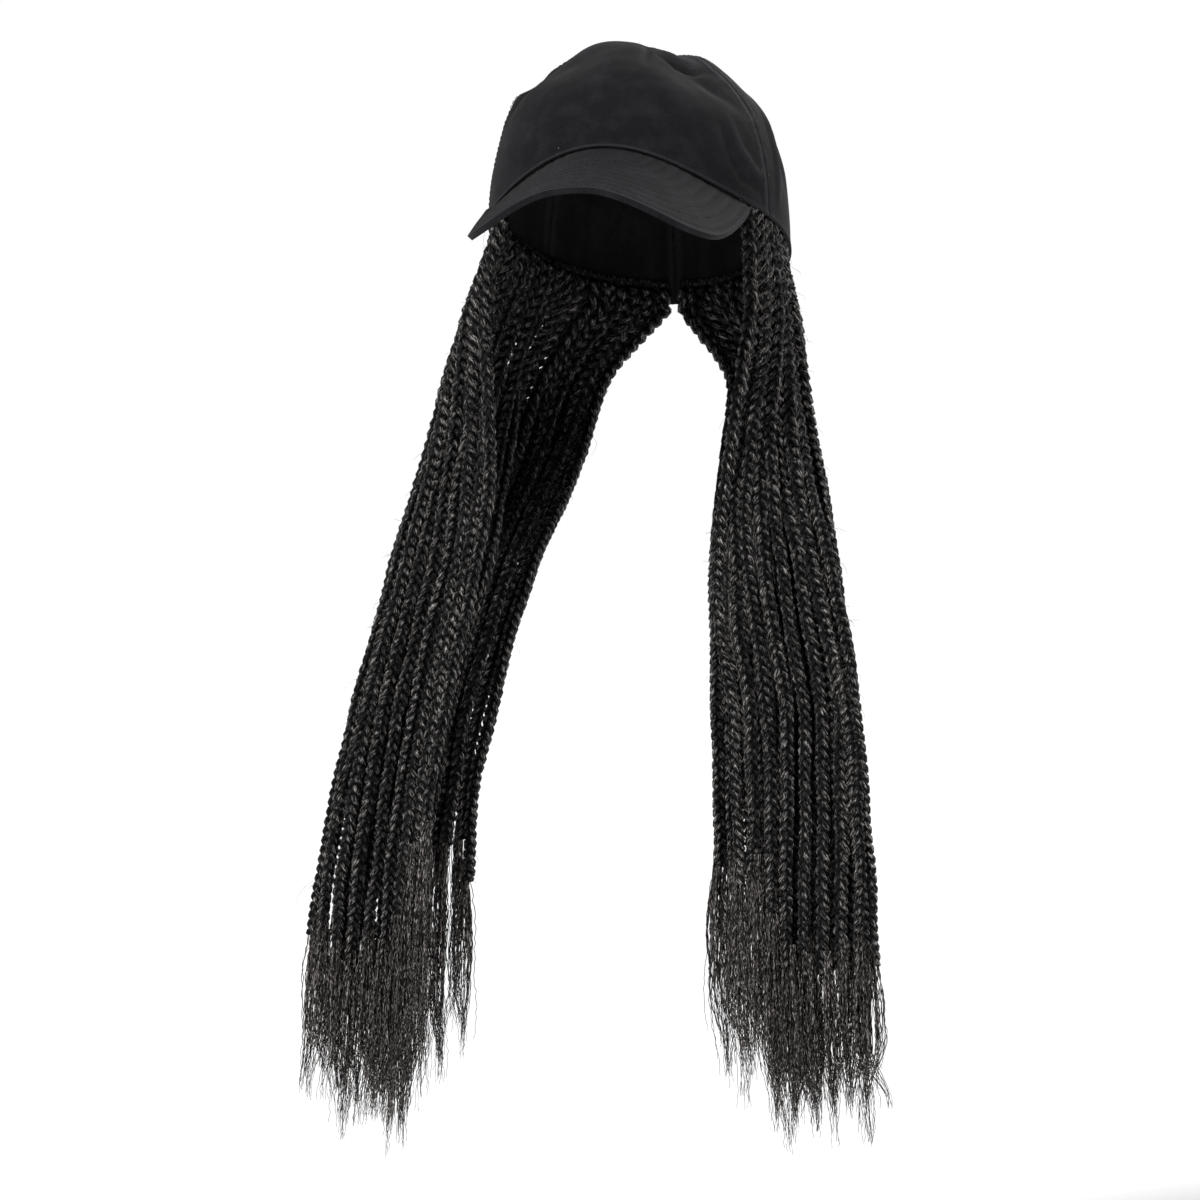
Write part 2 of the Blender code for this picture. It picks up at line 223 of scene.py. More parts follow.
# The fibre is painted with a highlight from this far out of the braid's middle, as a share of the
# braid's width, and fully where it stands the second share further out; nearer the middle, under the
# crossings, it stays near black as painted shade
PAINTED_HIGHLIGHT_FROM = 0.415
PAINTED_HIGHLIGHT_RISE = 0.09

# The loose ends hang in points this far apart, each strand drawn this share of the way to one.
# They start this far up inside the plait, and draw together from and to these shares of them.
WISP_SPACING = 0.0105
WISP_PULL = 0.74
LOOSE_OVERLAP = 0.013
DRAWN_FROM = 0.52
DRAWN_BY = 0.95

# Camera at the photograph's angle: 13 degrees round to the wearer's left, level
CAMERA_TURN = 13.0
CAMERA_DISTANCE = 2.4
CAMERA_SIDEWAYS = -0.0233
CAMERA_HEIGHT = -0.209
CAMERA_LENS = 123.84
SENSOR = 36.0

# The suns: name, where it comes from, its share of the key light and its spread in degrees
SUNS = (
    ("key_light", (-0.9, -1.5, 1.5), 1.0, 14.0),
    ("side_light", (1.6, -0.4, 0.9), 0.30, 14.0),
    ("back_light", (0.5, 1.6, 1.2), 0.40, 40.0),
)
WHITE = (1.0, 1.0, 1.0, 1.0)


def linear(code):
    """An sRGB hex colour as linear red, green and blue."""
    parts = [int(code[place:place + 2], 16) / 255 for place in (1, 3, 5)]
    return tuple(
        part / 12.92 if part <= 0.04045 else ((part + 0.055) / 1.055) ** 2.4 for part in parts
    )


class CrownSettings(bpy.types.PropertyGroup):
    """Cloth, seams and stitches of the crown"""

    seam_depth: bpy.props.FloatProperty(
        name="Seam Depth", description="How far the cloth dips into a seam",
        default=0.0008, min=0.0, unit="LENGTH", precision=4)
    seam_width: bpy.props.FloatProperty(
        name="Seam Width", description="Half width of the dip at a seam",
        default=0.0016, min=0.0002, unit="LENGTH", precision=4)
    allowance: bpy.props.FloatProperty(
        name="Seam Allowance", description="Width of the folded cloth pressed to each side of a seam",
        default=0.0060, min=0.0, unit="LENGTH", precision=4)
    slack: bpy.props.FloatProperty(
        name="Slack", description="Height of the soft wrinkles in the washed cloth",
        default=0.0011, min=0.0, unit="LENGTH", precision=4)
    stitch: bpy.props.FloatProperty(
        name="Stitch Length", description="Length of one stitch",
        default=0.0030, min=0.001, unit="LENGTH", precision=4)
    colour: bpy.props.FloatVectorProperty(
        name="Cloth", description="Colour of the black cotton twill",
        default=linear("#0e0d0f"), size=3, subtype="COLOR", min=0.0, max=1.0)
    washed: bpy.props.FloatVectorProperty(
        name="Washed Cloth", description="Colour where washing has taken some dye out",
        default=linear("#201f22"), size=3, subtype="COLOR", min=0.0, max=1.0)
    worn: bpy.props.FloatVectorProperty(
        name="Worn Edge", description="Colour of folded edges that have rubbed",
        default=linear("#343236"), size=3, subtype="COLOR", min=0.0, max=1.0)
    thread: bpy.props.FloatVectorProperty(
        name="Thread", description="Colour of the sewing thread",
        default=linear("#232225"), size=3, subtype="COLOR", min=0.0, max=1.0)


class PeakSettings(bpy.types.PropertyGroup):
    """Rows of stitches on the peak"""

    rows: bpy.props.IntProperty(
        name="Stitch Rows", description="Rows of stitches over the peak, besides the edge row",
        default=8, min=0, max=12)
    spacing: bpy.props.FloatProperty(
        name="Row Spacing", description="Distance between the rows",
        default=0.0062, min=0.002, unit="LENGTH", precision=4)
    edge_row: bpy.props.FloatProperty(
        name="Edge Row", description="Distance of the first row from the edge",
        default=0.0032, min=0.001, unit="LENGTH", precision=4)
    dip: bpy.props.FloatProperty(
        name="Row Dip", description="How deep the thread pulls the cloth in",
        default=0.00045, min=0.0, unit="LENGTH", precision=5)


class BraidSettings(bpy.types.PropertyGroup):
    """Plaits, loose ends and fibre of the braids"""

    root_width: bpy.props.FloatProperty(
        name="Root Width", description="Width of a braid at the rim",
        default=0.0100, min=0.002, unit="LENGTH", precision=4)
    end_width: bpy.props.FloatProperty(
        name="End Width", description="Width of a braid where the plaiting ends",
        default=0.0074, min=0.002, unit="LENGTH", precision=4)
    root_turn: bpy.props.FloatProperty(
        name="Plait Length at Root", description="Length of one full round of the plait at the rim",
        default=0.0216, min=0.005, unit="LENGTH", precision=4)
    end_turn: bpy.props.FloatProperty(
        name="Plait Length at End", description="Length of one full round of the plait at its end",
        default=0.0156, min=0.005, unit="LENGTH", precision=4)
    tufts: bpy.props.IntProperty(
        name="Tufts", description="Thick woolly tufts in the loose end of each braid",
        default=6, min=0, max=20)
    tuft_radius: bpy.props.FloatProperty(
        name="Tuft Radius", description="Radius of a tuft where it leaves the braid",
        default=0.00105, min=0.0001, unit="LENGTH", precision=5)
    loose_strands: bpy.props.IntProperty(
        name="Loose Strands", description="Fine strands in the loose end of each braid",
        default=23, min=4, max=60)
    loose_radius: bpy.props.FloatProperty(
        name="Loose Strand Radius", description="Radius of one fine strand in a loose end",
        default=0.00028, min=0.00005, unit="LENGTH", precision=5)
    crimp_length: bpy.props.FloatProperty(
        name="Crimp Length", description="Length of one bend of the crimped fibre",
        default=0.0030, min=0.0010, unit="LENGTH", precision=4)
    strays: bpy.props.IntProperty(
        name="Stray Fibres", description="Short fibres that stand off each braid",
        default=40, min=0, max=200)
    fibre: bpy.props.FloatVectorProperty(
        name="Fibre", description="Colour of the black fibre",
        default=linear("#020202"), size=3, subtype="COLOR", min=0.0, max=1.0)
    # Painted highlight: the colour painted on the strands where they stand furthest out of the braid
    painted_highlight: bpy.props.FloatVectorProperty(
        name="Lit Fibre", description="Colour of the fibres that stand proud",
        default=linear("#bdb8b5"), size=3, subtype="COLOR", min=0.0, max=1.0)
    # Painted light: much paler than the plaited fibre, for the light that shines through thin loose
    # fibre and for its highlights
    loose: bpy.props.FloatVectorProperty(
        name="Loose Fibre", description="Colour of the thin loose fibre, with light through it",
        default=linear("#d2c9c5"), size=3, subtype="COLOR", min=0.0, max=1.0)


class StageSettings(bpy.types.PropertyGroup):
    """Floor and lights"""

    floor_level: bpy.props.FloatProperty(
        name="Floor Level", description="Height of the floor",
        default=-0.640, unit="LENGTH")
    key: bpy.props.FloatProperty(
        name="Key Light", description="Strength of the main soft light",
        default=3.2, min=0.0)
    fill: bpy.props.FloatProperty(
        name="Fill Light", description="Strength of the even light from all round",
        default=0.14, min=0.0)
    floor: bpy.props.FloatVectorProperty(
        name="Floor", description="Colour of the floor",
        default=linear("#f7f7f7"), size=3, subtype="COLOR", min=0.0, max=1.0)


def smoothstep(value):
    """0 up to a value of 0 and 1 from a value of 1, with a smooth rise between."""
    value = min(max(value, 0.0), 1.0)
    return value * value * (3 - 2 * value)


def bell(distance, width):
    """1 at no distance, falling smoothly to nearly nothing at twice the width."""
    return math.exp(-(distance / width) ** 2)


def noise_at(x, y, z):
    """Smooth noise from about -1 to 1, with features about one unit across."""
    return noise.noise(Vector((x, y, z)))


def rim_height(turn):
    """Height of the rim at a turn from the front, in radians: tilted, and arched at the front."""
    height = OPENING_RISE * math.cos(turn)
    share = abs(turn) / math.radians(PEAK_TURN)
    if share < 1.0:
        height += FOREHEAD_ARCH * math.cos(share * math.pi / 2) ** 2
    return height


def smooth_crown_point(turn, climb, inset=0.0):
    """Point of the crown before its folds; climb is 0 at the rim and 1 at the top."""
    angle = climb * math.pi / 2
    reach = max(math.cos(angle), 0.0) ** (2 / CROWN_FULLNESS)
    rise = math.sin(angle) ** (2 / CROWN_FULLNESS)
    rim = rim_height(turn)
    return Vector((
        (CROWN_HALF_WIDTH - inset) * reach * math.sin(turn),
        -(CROWN_HALF_LENGTH - inset) * reach * math.cos(turn),
        rim + (CROWN_HEIGHT - rim) * rise,
    ))


FOLD_MIDDLES = [
    (smooth_crown_point(math.radians(turn), climb), spread * CROWN_HALF_WIDTH, height * CROWN_HEIGHT)
    for _, turn, climb, spread, height in CROWN_FOLDS
]
CREASE_LINES = [
    (width, height, [smooth_crown_point(math.radians(turn), climb) for turn, climb in points])
    for _, width, height, points in CREASES
]
PUFF_MIDDLES = [
    (smooth_crown_point(math.radians(turn), climb), spread, height)
    for _, turn, climb, spread, height in PUFFS
]


def crown_point(turn, climb, inset=0.0):
    """Point of the crown with its humps and dents, which fade out at the firm rim."""
    point = smooth_crown_point(turn, climb, inset)
    push = sum(
        height * bell((point - middle).length, spread) for middle, spread, height in FOLD_MIDDLES
    )
    return point + push * smoothstep(climb / FIRM_CLIMB) * point.normalized()


def wall_point(turn, height, inset):
    """Point inside the crown at a height over the rim, an inset away from its outer face."""
    rise = height / (CROWN_HEIGHT - rim_height(turn))
    climb = math.asin(rise ** (CROWN_FULLNESS / 2)) / (math.pi / 2)
    return crown_point(turn, climb, inset)


def crease_relief(point):
    """Height of the fine creases, ridges and puffs at a point of the smooth crown."""
    relief = sum(
        height * bell((point - middle).length, spread) for middle, spread, height in PUFF_MIDDLES
    )
    for width, height, line in CREASE_LINES:
        if (point - line[len(line) // 2]).length > 0.07:
            continue
        nearest = 1.0
        strength = 1.0
        for index in range(len(line) - 1):
            run = line[index + 1] - line[index]
            share = min(max((point - line[index]).dot(run) / run.length_squared, 0.0), 1.0)
            distance = (point - line[index] - share * run).length
            if distance < nearest:
                nearest = distance
                along = (index + share) / (len(line) - 1)
                strength = 0.25 + 0.75 * math.sin(math.pi * min(max(along, 0.0), 1.0))
        relief += height * strength * bell(nearest, width)
    return relief


def peak_height(x, y):
    """Height of the peak's upper face: it drops forwards and bends down at both sides."""
    forward = (-y - CROWN_HALF_LENGTH) / PEAK_LENGTH
    bend = (x / PEAK_HALF_WIDTH) ** 2
    return OPENING_RISE + FOREHEAD_ARCH - PEAK_DROP * forward - PEAK_SAG * bend


def peak_rim_point(across):
    """Point of the peak's inner edge under the crown; across runs from -1 to 1."""
    turn = math.radians(PEAK_TURN) * across
    return Vector((
        (CROWN_HALF_WIDTH - CLOTH) * math.sin(turn),
        -(CROWN_HALF_LENGTH - CLOTH) * math.cos(turn),
        rim_height(turn) - PEAK_SEAM_GAP,
    ))


def peak_edge_point(across):
    """Point of the peak's free edge; across runs from -1 to 1."""
    turn = math.pi / 2 * across
    power = 2 / PEAK_SQUARENESS
    front = CROWN_HALF_LENGTH + PEAK_LENGTH
    x = PEAK_HALF_WIDTH * math.copysign(abs(math.sin(turn)) ** power, turn)
    y = -PEAK_SHOULDER - (front - PEAK_SHOULDER) * max(math.cos(turn), 0.0) ** power
    return Vector((x, y, peak_height(x, y)))


def peak_point(across, up):
    """Point of the peak's upper face; across and up run from 0 to 1, up from edge to crown."""
    inner = peak_rim_point(2 * across - 1)
    outer = peak_edge_point(2 * across - 1)
    flat = outer.lerp(inner, up)
    lift = inner.z - peak_height(inner.x, inner.y)
    return Vector((flat.x, flat.y, peak_height(flat.x, flat.y) + lift * up))


def read_table(rows, where, column):
    """Smooth reading of one column of a table whose key column rises (Catmull-Rom)."""
    last = len(rows) - 1
    index = 0
    while index < last - 1 and where > rows[index + 1][0]:
        index += 1
    before, start, end, after = max(index - 1, 0), index, index + 1, min(index + 2, last)
    width = rows[end][0] - rows[start][0]
    share = min(max((where - rows[start][0]) / width, 0.0), 1.0)
    low, high = rows[start][column], rows[end][column]
    slope_in = (high - rows[before][column]) / (rows[end][0] - rows[before][0]) * width
    slope_out = (rows[after][column] - low) / (rows[after][0] - rows[start][0]) * width
    return (
        low * (1 - 3 * share ** 2 + 2 * share ** 3)
        + high * (3 * share ** 2 - 2 * share ** 3)
        + slope_in * (share - 2 * share ** 2 + share ** 3)
        + slope_out * (share ** 3 - share ** 2)
    )


def root_point(turn):
    """Where a braid leaves the rim, just clear of the crown's inner face."""
    point = wall_point(turn, 0.0, ROOT_INSET)
    return Vector((point.x, point.y, point.z - ROOT_EXIT))


def weft_turn(weft, share):
    """Turn of a root in radians; share runs from the weft's first braid to its last."""
    return math.radians(weft.first_turn + (weft.last_turn - weft.first_turn) * share)


def weft_place(weft, share):
    """Place of a braid across the curtain, from 0 inside to 1 outside."""
    return weft.first_place + (weft.last_place - weft.first_place) * share


def row_point(side, weft, share, station):
    """Place of a braid at a station, before it steps out of its row; x is away from the middle."""
    across = station.inner + (station.outer - station.inner) * weft_place(weft, share)
    root = root_point(weft_turn(weft, share))
    x = (across - station.lean * side) * CURTAIN_REACH
    y = (-station.depth + station.spacing * weft.row) * CHEST_DEPTH
    return Vector((
        root.x + (x - root.x) * station.sideways, root.y + (y - root.y) * station.forwards))


def row_table(side, weft, share):
    """Level, x and y of the middle of a row at a share of its width."""
    root = root_point(weft_turn(weft, share))
    table = [(-root.z, root.x, root.y)]
    for station in STATIONS:
        here = row_point(side, weft, share, station)
        level = station.level * HAIR_DROP - root.z * (1 - station.forwards)
        table.append((level, here.x, here.y))
    return table


def braid_table(side, weft, number):
    """A braid's own table of level, x and y, with every other braid just clear of its row."""
    step = 1 / (weft.braids - 1)
    share = number * step
    table = row_table(side, weft, share)
    last = len(STATIONS) - 1
    for index, station in enumerate(STATIONS):
        above, below = STATIONS[max(index - 1, 0)], STATIONS[min(index + 1, last)]
        ahead = row_point(side, weft, share + step / 2, station)
        pitch = ahead - row_point(side, weft, share - step / 2, station)
        normal = Vector((pitch.y, -pitch.x)).normalized()
        drift = row_point(side, weft, share, below) - row_point(side, weft, share, above)
        steepness = drift.dot(normal) / ((below.level - above.level) * HAIR_DROP)
        room = (2 * LOCK_RADIUS + ROW_GAP) ** 2 - pitch.length_squared
        stagger = math.sqrt(max(room, 0.0) * (1 + steepness ** 2)) / 2
        shift = ROW_CLOSENESS * stagger * (-1) ** number
        level, x, y = table[index + 1]
        table[index + 1] = (level, x + shift * normal.x, y + shift * normal.y)
    return table


def hang(side, place, level):
    """How far a braid hangs outwards of its solid, for its place from 0 inside to 1 outside."""
    if side > 0:
        return read_table(HANG, level, 3) * smoothstep(place)
    return read_table(HANG, level, 1) * smoothstep(place) + read_table(HANG, level, 2) * (
        1 - smoothstep(place / 0.6))


def fan(share, level):
    """How far back a braid hangs of its row, so that a weft's braids don't lie in one line."""
    spread = 0.018 * smoothstep(level / 0.09) * (1 - 0.45 * smoothstep((level - 0.16) / 0.20))
    return (share - 0.5) * spread


def finish_piece(piece, slot, *nodes):
    """Puts a piece on the root body and hides the solids that it stands for. Its material slot is not
    used.
    """
    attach(piece, "root")
    if nodes:
        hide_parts(*nodes)


def shape_mesh(name, shape):
    """The mesh of a finished shape, which is freed."""
    mesh = bpy.data.meshes.new(name)
    shape.to_mesh(mesh)
    shape.free()
    return mesh


def link_mesh(name, mesh, material):
    """A smooth object of a mesh, with its one material."""
    mesh.name = name
    mesh.materials.append(material)
    mesh.shade_smooth()
    piece = bpy.data.objects.new(name, mesh)
    bpy.context.scene.collection.objects.link(piece)
    return piece


def walled_sheet(name, columns, rows, place, pattern, attributes, thickness, material):
    """A grid laid on place(across, up), with a wall on its inner side.

    pattern(across, up) gives the material's own place in metres and a shade, for the two
    point attributes that are named.
    """
    shape = bmesh.new()
    bmesh.ops.create_grid(shape, x_segments=columns, y_segments=rows, size=0.5)
    own_place = shape.verts.layers.float_vector.new(attributes[0])
    shade = shape.verts.layers.float.new(attributes[1])
    for vertex in shape.verts:
        across, up = vertex.co.x + 0.5, vertex.co.y + 0.5
        vertex[own_place], vertex[shade] = pattern(across, up)
        vertex.co = place(across, up)
    piece = link_mesh(name, shape_mesh(name, shape), material)
    wall = piece.modifiers.new("wall", "SOLIDIFY")
    wall.thickness = thickness
    wall.offset = -1.0
    return piece


def cloth_sheet(name, columns, rows, place, pattern, thickness, rounding, material):
    """A sheet of cloth with a rolled edge; its shade is how worn it is, and on the peak also a
    painted highlight beside each row of stitches.
    """
    piece = walled_sheet(
        name, columns, rows, place, pattern, ("cloth", "worn"), thickness, material)
    piece.modifiers["wall"].use_even_offset = True
    roll = piece.modifiers.new("rolled edge", "BEVEL")
    roll.width = rounding
    roll.segments = 3
    roll.limit_method = "ANGLE"
    roll.angle_limit = math.radians(50)
    return piece


def thread_mesh(name, threads, sides, seed, cores=None):
    """Round threads, each a list of (point, radius), as one mesh.

    The attribute strand holds the place round and along each thread in metres. The other attribute
    holds how much painted highlight a thread gets: a random share for each thread or, where cores
    gives the braid's middle and width at every ring, a painted highlight where the skin stands out of
    the braid and painted shade nearer its middle.
    """
    rng = random.Random(seed)
    outline = bpy.data.curves.new(name + "_outline", "CURVE")
    outline.dimensions = "2D"
    ring = outline.splines.new("POLY")
    ring.points.add(sides - 1)
    for index, knot in enumerate(ring.points):
        angle = -2 * math.pi * index / sides
        knot.co = (math.cos(angle), math.sin(angle), 0.0, 1.0)
    ring.use_cyclic_u = True
    outline_object = bpy.data.objects.new(name + "_outline", outline)
    bpy.context.scene.collection.objects.link(outline_object)
    curve = bpy.data.curves.new(name, "CURVE")
    curve.dimensions = "3D"
    curve.bevel_mode = "OBJECT"
    curve.bevel_object = outline_object
    strand = []
    tint = []
    for thread in threads:
        spline = curve.splines.new("POLY")
        spline.points.add(len(thread) - 1)
        spline.points.foreach_set("co", [part for point, _ in thread for part in (*point, 1.0)])
        spline.points.foreach_set("radius", [radius for _, radius in thread])
        along = rng.uniform(0.0, 0.5)
        shade = rng.random()
        last = thread[0][0]
        for point, radius in thread:
            along += (point - last).length
            last = point
            for index in range(sides):
                angle = 2 * math.pi * index / sides
                strand += (radius * math.cos(angle), radius * math.sin(angle), along)
                tint.append(shade)
    guide = bpy.data.objects.new(name, curve)
    bpy.context.scene.collection.objects.link(guide)
    bpy.context.view_layer.update()
    evaluated = guide.evaluated_get(bpy.context.evaluated_depsgraph_get())
    mesh = bpy.data.meshes.new_from_object(evaluated)
    if len(mesh.vertices) != len(tint):
        raise RuntimeError(name + ": the threads' rings don't match their points")
    # Painted highlight where the skin stands out of the braid, and painted shade nearer its middle
    for ring, (middle, width) in enumerate(cores or ()):
        for index in range(ring * sides, (ring + 1) * sides):
            stand = (mesh.vertices[index].co - middle).length / width
            tint[index] = smoothstep((stand - PAINTED_HIGHLIGHT_FROM) / PAINTED_HIGHLIGHT_RISE)
    mesh.attributes.new("strand", "FLOAT_VECTOR", "POINT").data.foreach_set("vector", strand)
    mesh.attributes.new("tint", "FLOAT", "POINT").data.foreach_set("value", tint)
    bpy.data.objects.remove(guide, do_unlink=True)
    bpy.data.objects.remove(outline_object, do_unlink=True)
    bpy.data.curves.remove(curve)
    bpy.data.curves.remove(outline)
    shape = bmesh.new()
    shape.from_mesh(mesh)
    ends = [edge for edge in shape.edges if edge.is_boundary]
    bmesh.ops.holes_fill(shape, edges=ends, sides=sides)
    shape.to_mesh(mesh)
    shape.free()
    return mesh


def thread_piece(name, threads, sides, seed, material, slot, *nodes, cores=None):
    """A finished piece of round threads."""
    mesh = thread_mesh(name, threads, sides, seed, cores)
    finish_piece(link_mesh(name, mesh, material), slot, *nodes)


def set_inputs(tree, node, inputs):
    """Sets each named input of a node to a value, or links another node's output to it."""
    for name, value in inputs.items():
        if isinstance(value, bpy.types.NodeSocket):
            tree.links.new(value, node.inputs[name])
        else:
            node.inputs[name].default_value = value


def add_node(tree, kind, settings, inputs):
    """Adds a node; settings are its properties, and each input a value or another's output."""
    node = tree.nodes.new(kind)
    for name, value in settings.items():
        setattr(node, name, value)
    set_inputs(tree, node, inputs)
    return node


def new_material(name):
    """A material with its shader node, ready for its own nodes."""
    material = bpy.data.materials.new(name)
    material.use_nodes = True
    return material, material.node_tree, material.node_tree.nodes["Principled BSDF"]


def washed_twill(name, settings, mottle):
    """Cotton twill, piece dyed black and garment washed: matt, with a diagonal rib, paler where
    the wash has taken dye out and along rubbed folds, and a soft bloom of loose fibre. The
    larger mottle is, the smaller its wash marks are."""
    material, tree, shader = new_material(name)
    place = add_node(tree, "ShaderNodeAttribute", {"attribute_name": "cloth"}, {})
    worn = add_node(tree, "ShaderNodeAttribute", {"attribute_name": "worn"}, {})
    # Ribs of 1.1 mm
    ribs = add_node(tree, "ShaderNodeTexWave", {"bands_direction": "DIAGONAL"}, {
        "Vector": place.outputs["Vector"], "Scale": 2 * math.pi / (20 * RIB_WIDTH) / math.sqrt(3),
        "Distortion": 2.4, "Detail": 3.0, "Detail Scale": 3.0})
    # Yarn unevenness of about 1.5 mm
    yarn = add_node(tree, "ShaderNodeTexNoise", {}, {
        "Vector": place.outputs["Vector"], "Scale": 650.0, "Detail": 3.0, "Roughness": 0.6})
    # Wash marks of 10 to 40 mm
    wash = add_node(tree, "ShaderNodeTexNoise", {}, {
        "Vector": place.outputs["Vector"], "Scale": mottle, "Detail": 5.0, "Roughness": 0.62})
    faded = add_node(tree, "ShaderNodeMapRange", {}, {
        "Value": wash.outputs["Fac"], "From Min": 0.46, "From Max": 0.80})
    grain = add_node(tree, "ShaderNodeMath", {"operation": "MULTIPLY_ADD"}, {
        0: ribs.outputs["Fac"], 1: 0.22, 2: yarn.outputs["Fac"]})
    amount = add_node(tree, "ShaderNodeMath", {"operation": "MULTIPLY_ADD", "use_clamp": True}, {
        0: grain.outputs["Value"], 1: 0.55, 2: faded.outputs["Result"]})
    base = add_node(tree, "ShaderNodeMix", {"data_type": "RGBA"}, {
        0: amount.outputs["Value"], 6: (*settings.colour, 1.0), 7: (*settings.washed, 1.0)})
    # Rubbing takes the dye off the raised yarns first
    rubbed = add_node(tree, "ShaderNodeMath", {"operation": "MULTIPLY", "use_clamp": True}, {
        0: worn.outputs["Fac"], 1: yarn.outputs["Fac"]})
    rubbed_more = add_node(tree, "ShaderNodeMath", {"operation": "MULTIPLY", "use_clamp": True}, {
        0: rubbed.outputs["Value"], 1: 1.8})
    edged = add_node(tree, "ShaderNodeMix", {"data_type": "RGBA"}, {
        0: rubbed_more.outputs["Value"], 6: base.outputs[2], 7: (*settings.worn, 1.0)})
    # Specks of lint under half a millimetre, one to each 16 mm or so
    lint = add_node(tree, "ShaderNodeTexVoronoi", {"feature": "F1"}, {
        "Vector": place.outputs["Vector"], "Scale": 60.0, "Randomness": 1.0})
    speck = add_node(tree, "ShaderNodeMath", {"operation": "LESS_THAN"}, {
        0: lint.outputs["Distance"], 1: 0.022})
    few = add_node(tree, "ShaderNodeSeparateColor", {}, {0: lint.outputs["Color"]})
    some = add_node(tree, "ShaderNodeMath", {"operation": "GREATER_THAN"}, {
        0: few.outputs[0], 1: 0.55})
    speckled = add_node(tree, "ShaderNodeMath", {"operation": "MULTIPLY"}, {
        0: speck.outputs["Value"], 1: some.outputs["Value"]})
    colour = add_node(tree, "ShaderNodeMix", {"data_type": "RGBA"}, {
        0: speckled.outputs["Value"], 6: edged.outputs[2], 7: (*linear("#6d6a6e"), 1.0)})
    bump = add_node(tree, "ShaderNodeBump", {}, {
        "Height": grain.outputs["Value"], "Strength": 0.55, "Distance": 0.00015})
    set_inputs(tree, shader, {
        "Base Color": colour.outputs[2], "Normal": bump.outputs["Normal"], "Roughness": 0.92,
        "Specular IOR Level": 0.10, "Sheen Weight": 0.05, "Sheen Roughness": 0.45})
    return material


def polyester_thread(name, settings):
    """Spun polyester sewing thread, dyed black: a little glossier than the cloth, with its
    two plies showing as fine slanting lines."""
    material, tree, shader = new_material(name)
    place = add_node(tree, "ShaderNodeAttribute", {"attribute_name": "strand"}, {})
    # Plies turn about once a millimetre
    plies = add_node(tree, "ShaderNodeTexWave", {"bands_direction": "DIAGONAL"}, {
        "Vector": place.outputs["Vector"], "Scale": 300.0})
    colour = add_node(tree, "ShaderNodeMix", {"data_type": "RGBA"}, {
        0: plies.outputs["Fac"], 6: (*settings.thread, 1.0), 7: (*settings.worn, 1.0)})
    bump = add_node(tree, "ShaderNodeBump", {}, {
        "Height": plies.outputs["Fac"], "Strength": 0.5, "Distance": 0.0001})
    set_inputs(tree, shader, {
        "Base Color": colour.outputs[2], "Normal": bump.outputs["Normal"], "Roughness": 0.6,
        "Specular IOR Level": 0.3})
    return material


def modacrylic_fibre(name, dark, lit, coverage, least):
    """Crimped modacrylic braiding fibre, extruded black: each strand is a bundle of fine fibres, with
    thin streaks of painted highlight in the lighter colour where the strand stands proud, over near
    black. More coverage makes wider streaks, and least is how much of them shows on the darkest
    fibre."""
    material, tree, shader = new_material(name)
    place = add_node(tree, "ShaderNodeAttribute", {"attribute_name": "strand"}, {})
    shade = add_node(tree, "ShaderNodeAttribute", {"attribute_name": "tint"}, {})
    # Streaks about 0.7 mm across and 2.5 mm long, for the bump and the painted highlight: bundles, as
    # one fibre of 0.08 mm can't show
    stretched = add_node(tree, "ShaderNodeMapping", {"vector_type": "POINT"}, {
        "Vector": place.outputs["Vector"], "Scale": (1500.0, 1500.0, 400.0)})
    streaks = add_node(tree, "ShaderNodeTexNoise", {}, {
        "Vector": stretched.outputs["Vector"], "Scale": 1.0, "Detail": 3.0, "Roughness": 0.65})
    painted_highlight_streaks = add_node(tree, "ShaderNodeMapRange", {}, {
        "Value": streaks.outputs["Fac"], "From Min": 0.62 - 0.4 * coverage,
        "From Max": 0.78 - 0.4 * coverage})
    # The share of painted highlight that each part of a strand gets
    proud = add_node(tree, "ShaderNodeMapRange", {}, {
        "Value": shade.outputs["Fac"], "To Min": least, "To Max": 1.0})
    amount = add_node(tree, "ShaderNodeMath", {"operation": "MULTIPLY", "use_clamp": True}, {
        0: painted_highlight_streaks.outputs["Result"], 1: proud.outputs["Result"]})
    # Near black, with streaks of painted highlight
    colour = add_node(tree, "ShaderNodeMix", {"data_type": "RGBA"}, {
        0: amount.outputs["Value"], 6: (*dark, 1.0), 7: (*lit, 1.0)})
    bump = add_node(tree, "ShaderNodeBump", {}, {
        "Height": streaks.outputs["Fac"], "Strength": 1.0, "Distance": 0.0009})
    set_inputs(tree, shader, {
        "Base Color": colour.outputs[2], "Normal": bump.outputs["Normal"], "Roughness": 0.45,
        "Specular IOR Level": 0.12})
    return material


def seam_distance(turn, radius):
    """Distance along the cloth to the nearest panel seam, for a turn in degrees."""
    gap = min(abs((turn - seam + 180.0) % 360.0 - 180.0) for seam in SEAMS)
    return math.radians(gap) * radius


def cloth_crown_point(turn, climb, settings):
    """The crown's outer face with its seams, creases and soft wrinkles; turn is in degrees."""
    angle = math.radians(turn)
    smooth = smooth_crown_point(angle, climb)
    point = crown_point(angle, climb)
    gap = seam_distance(turn, smooth.xy.length)
    relief = crease_relief(smooth)
    # Loose cloth ripples more towards the top, less at the firm rim, and puckers at its seams;
    # the broad ripples are about 30 mm across and the fine ones 13 mm
    loose = smoothstep((climb - 0.04) / 0.35)
    broad = noise.noise(smooth * 32.0 + Vector((3.1, 0.0, 7.7)))
    fine = noise.noise(smooth * 75.0 + Vector((0.0, 5.3, 1.9)))
    relief += settings.slack * loose * (broad + 0.40 * fine)
    relief += 0.00045 * bell(gap, 0.010) * noise_at(turn, 0.0, climb * 24.0)
    if settings.allowance > 0.0:
        relief += 0.00040 * (1 - smoothstep(gap / settings.allowance))
    relief -= settings.seam_depth * bell(gap, settings.seam_width)
    # The hem's fold along the rim
    relief += 0.0006 * bell(point.z - rim_height(angle), 0.0035)
    return point + relief * point.normalized()


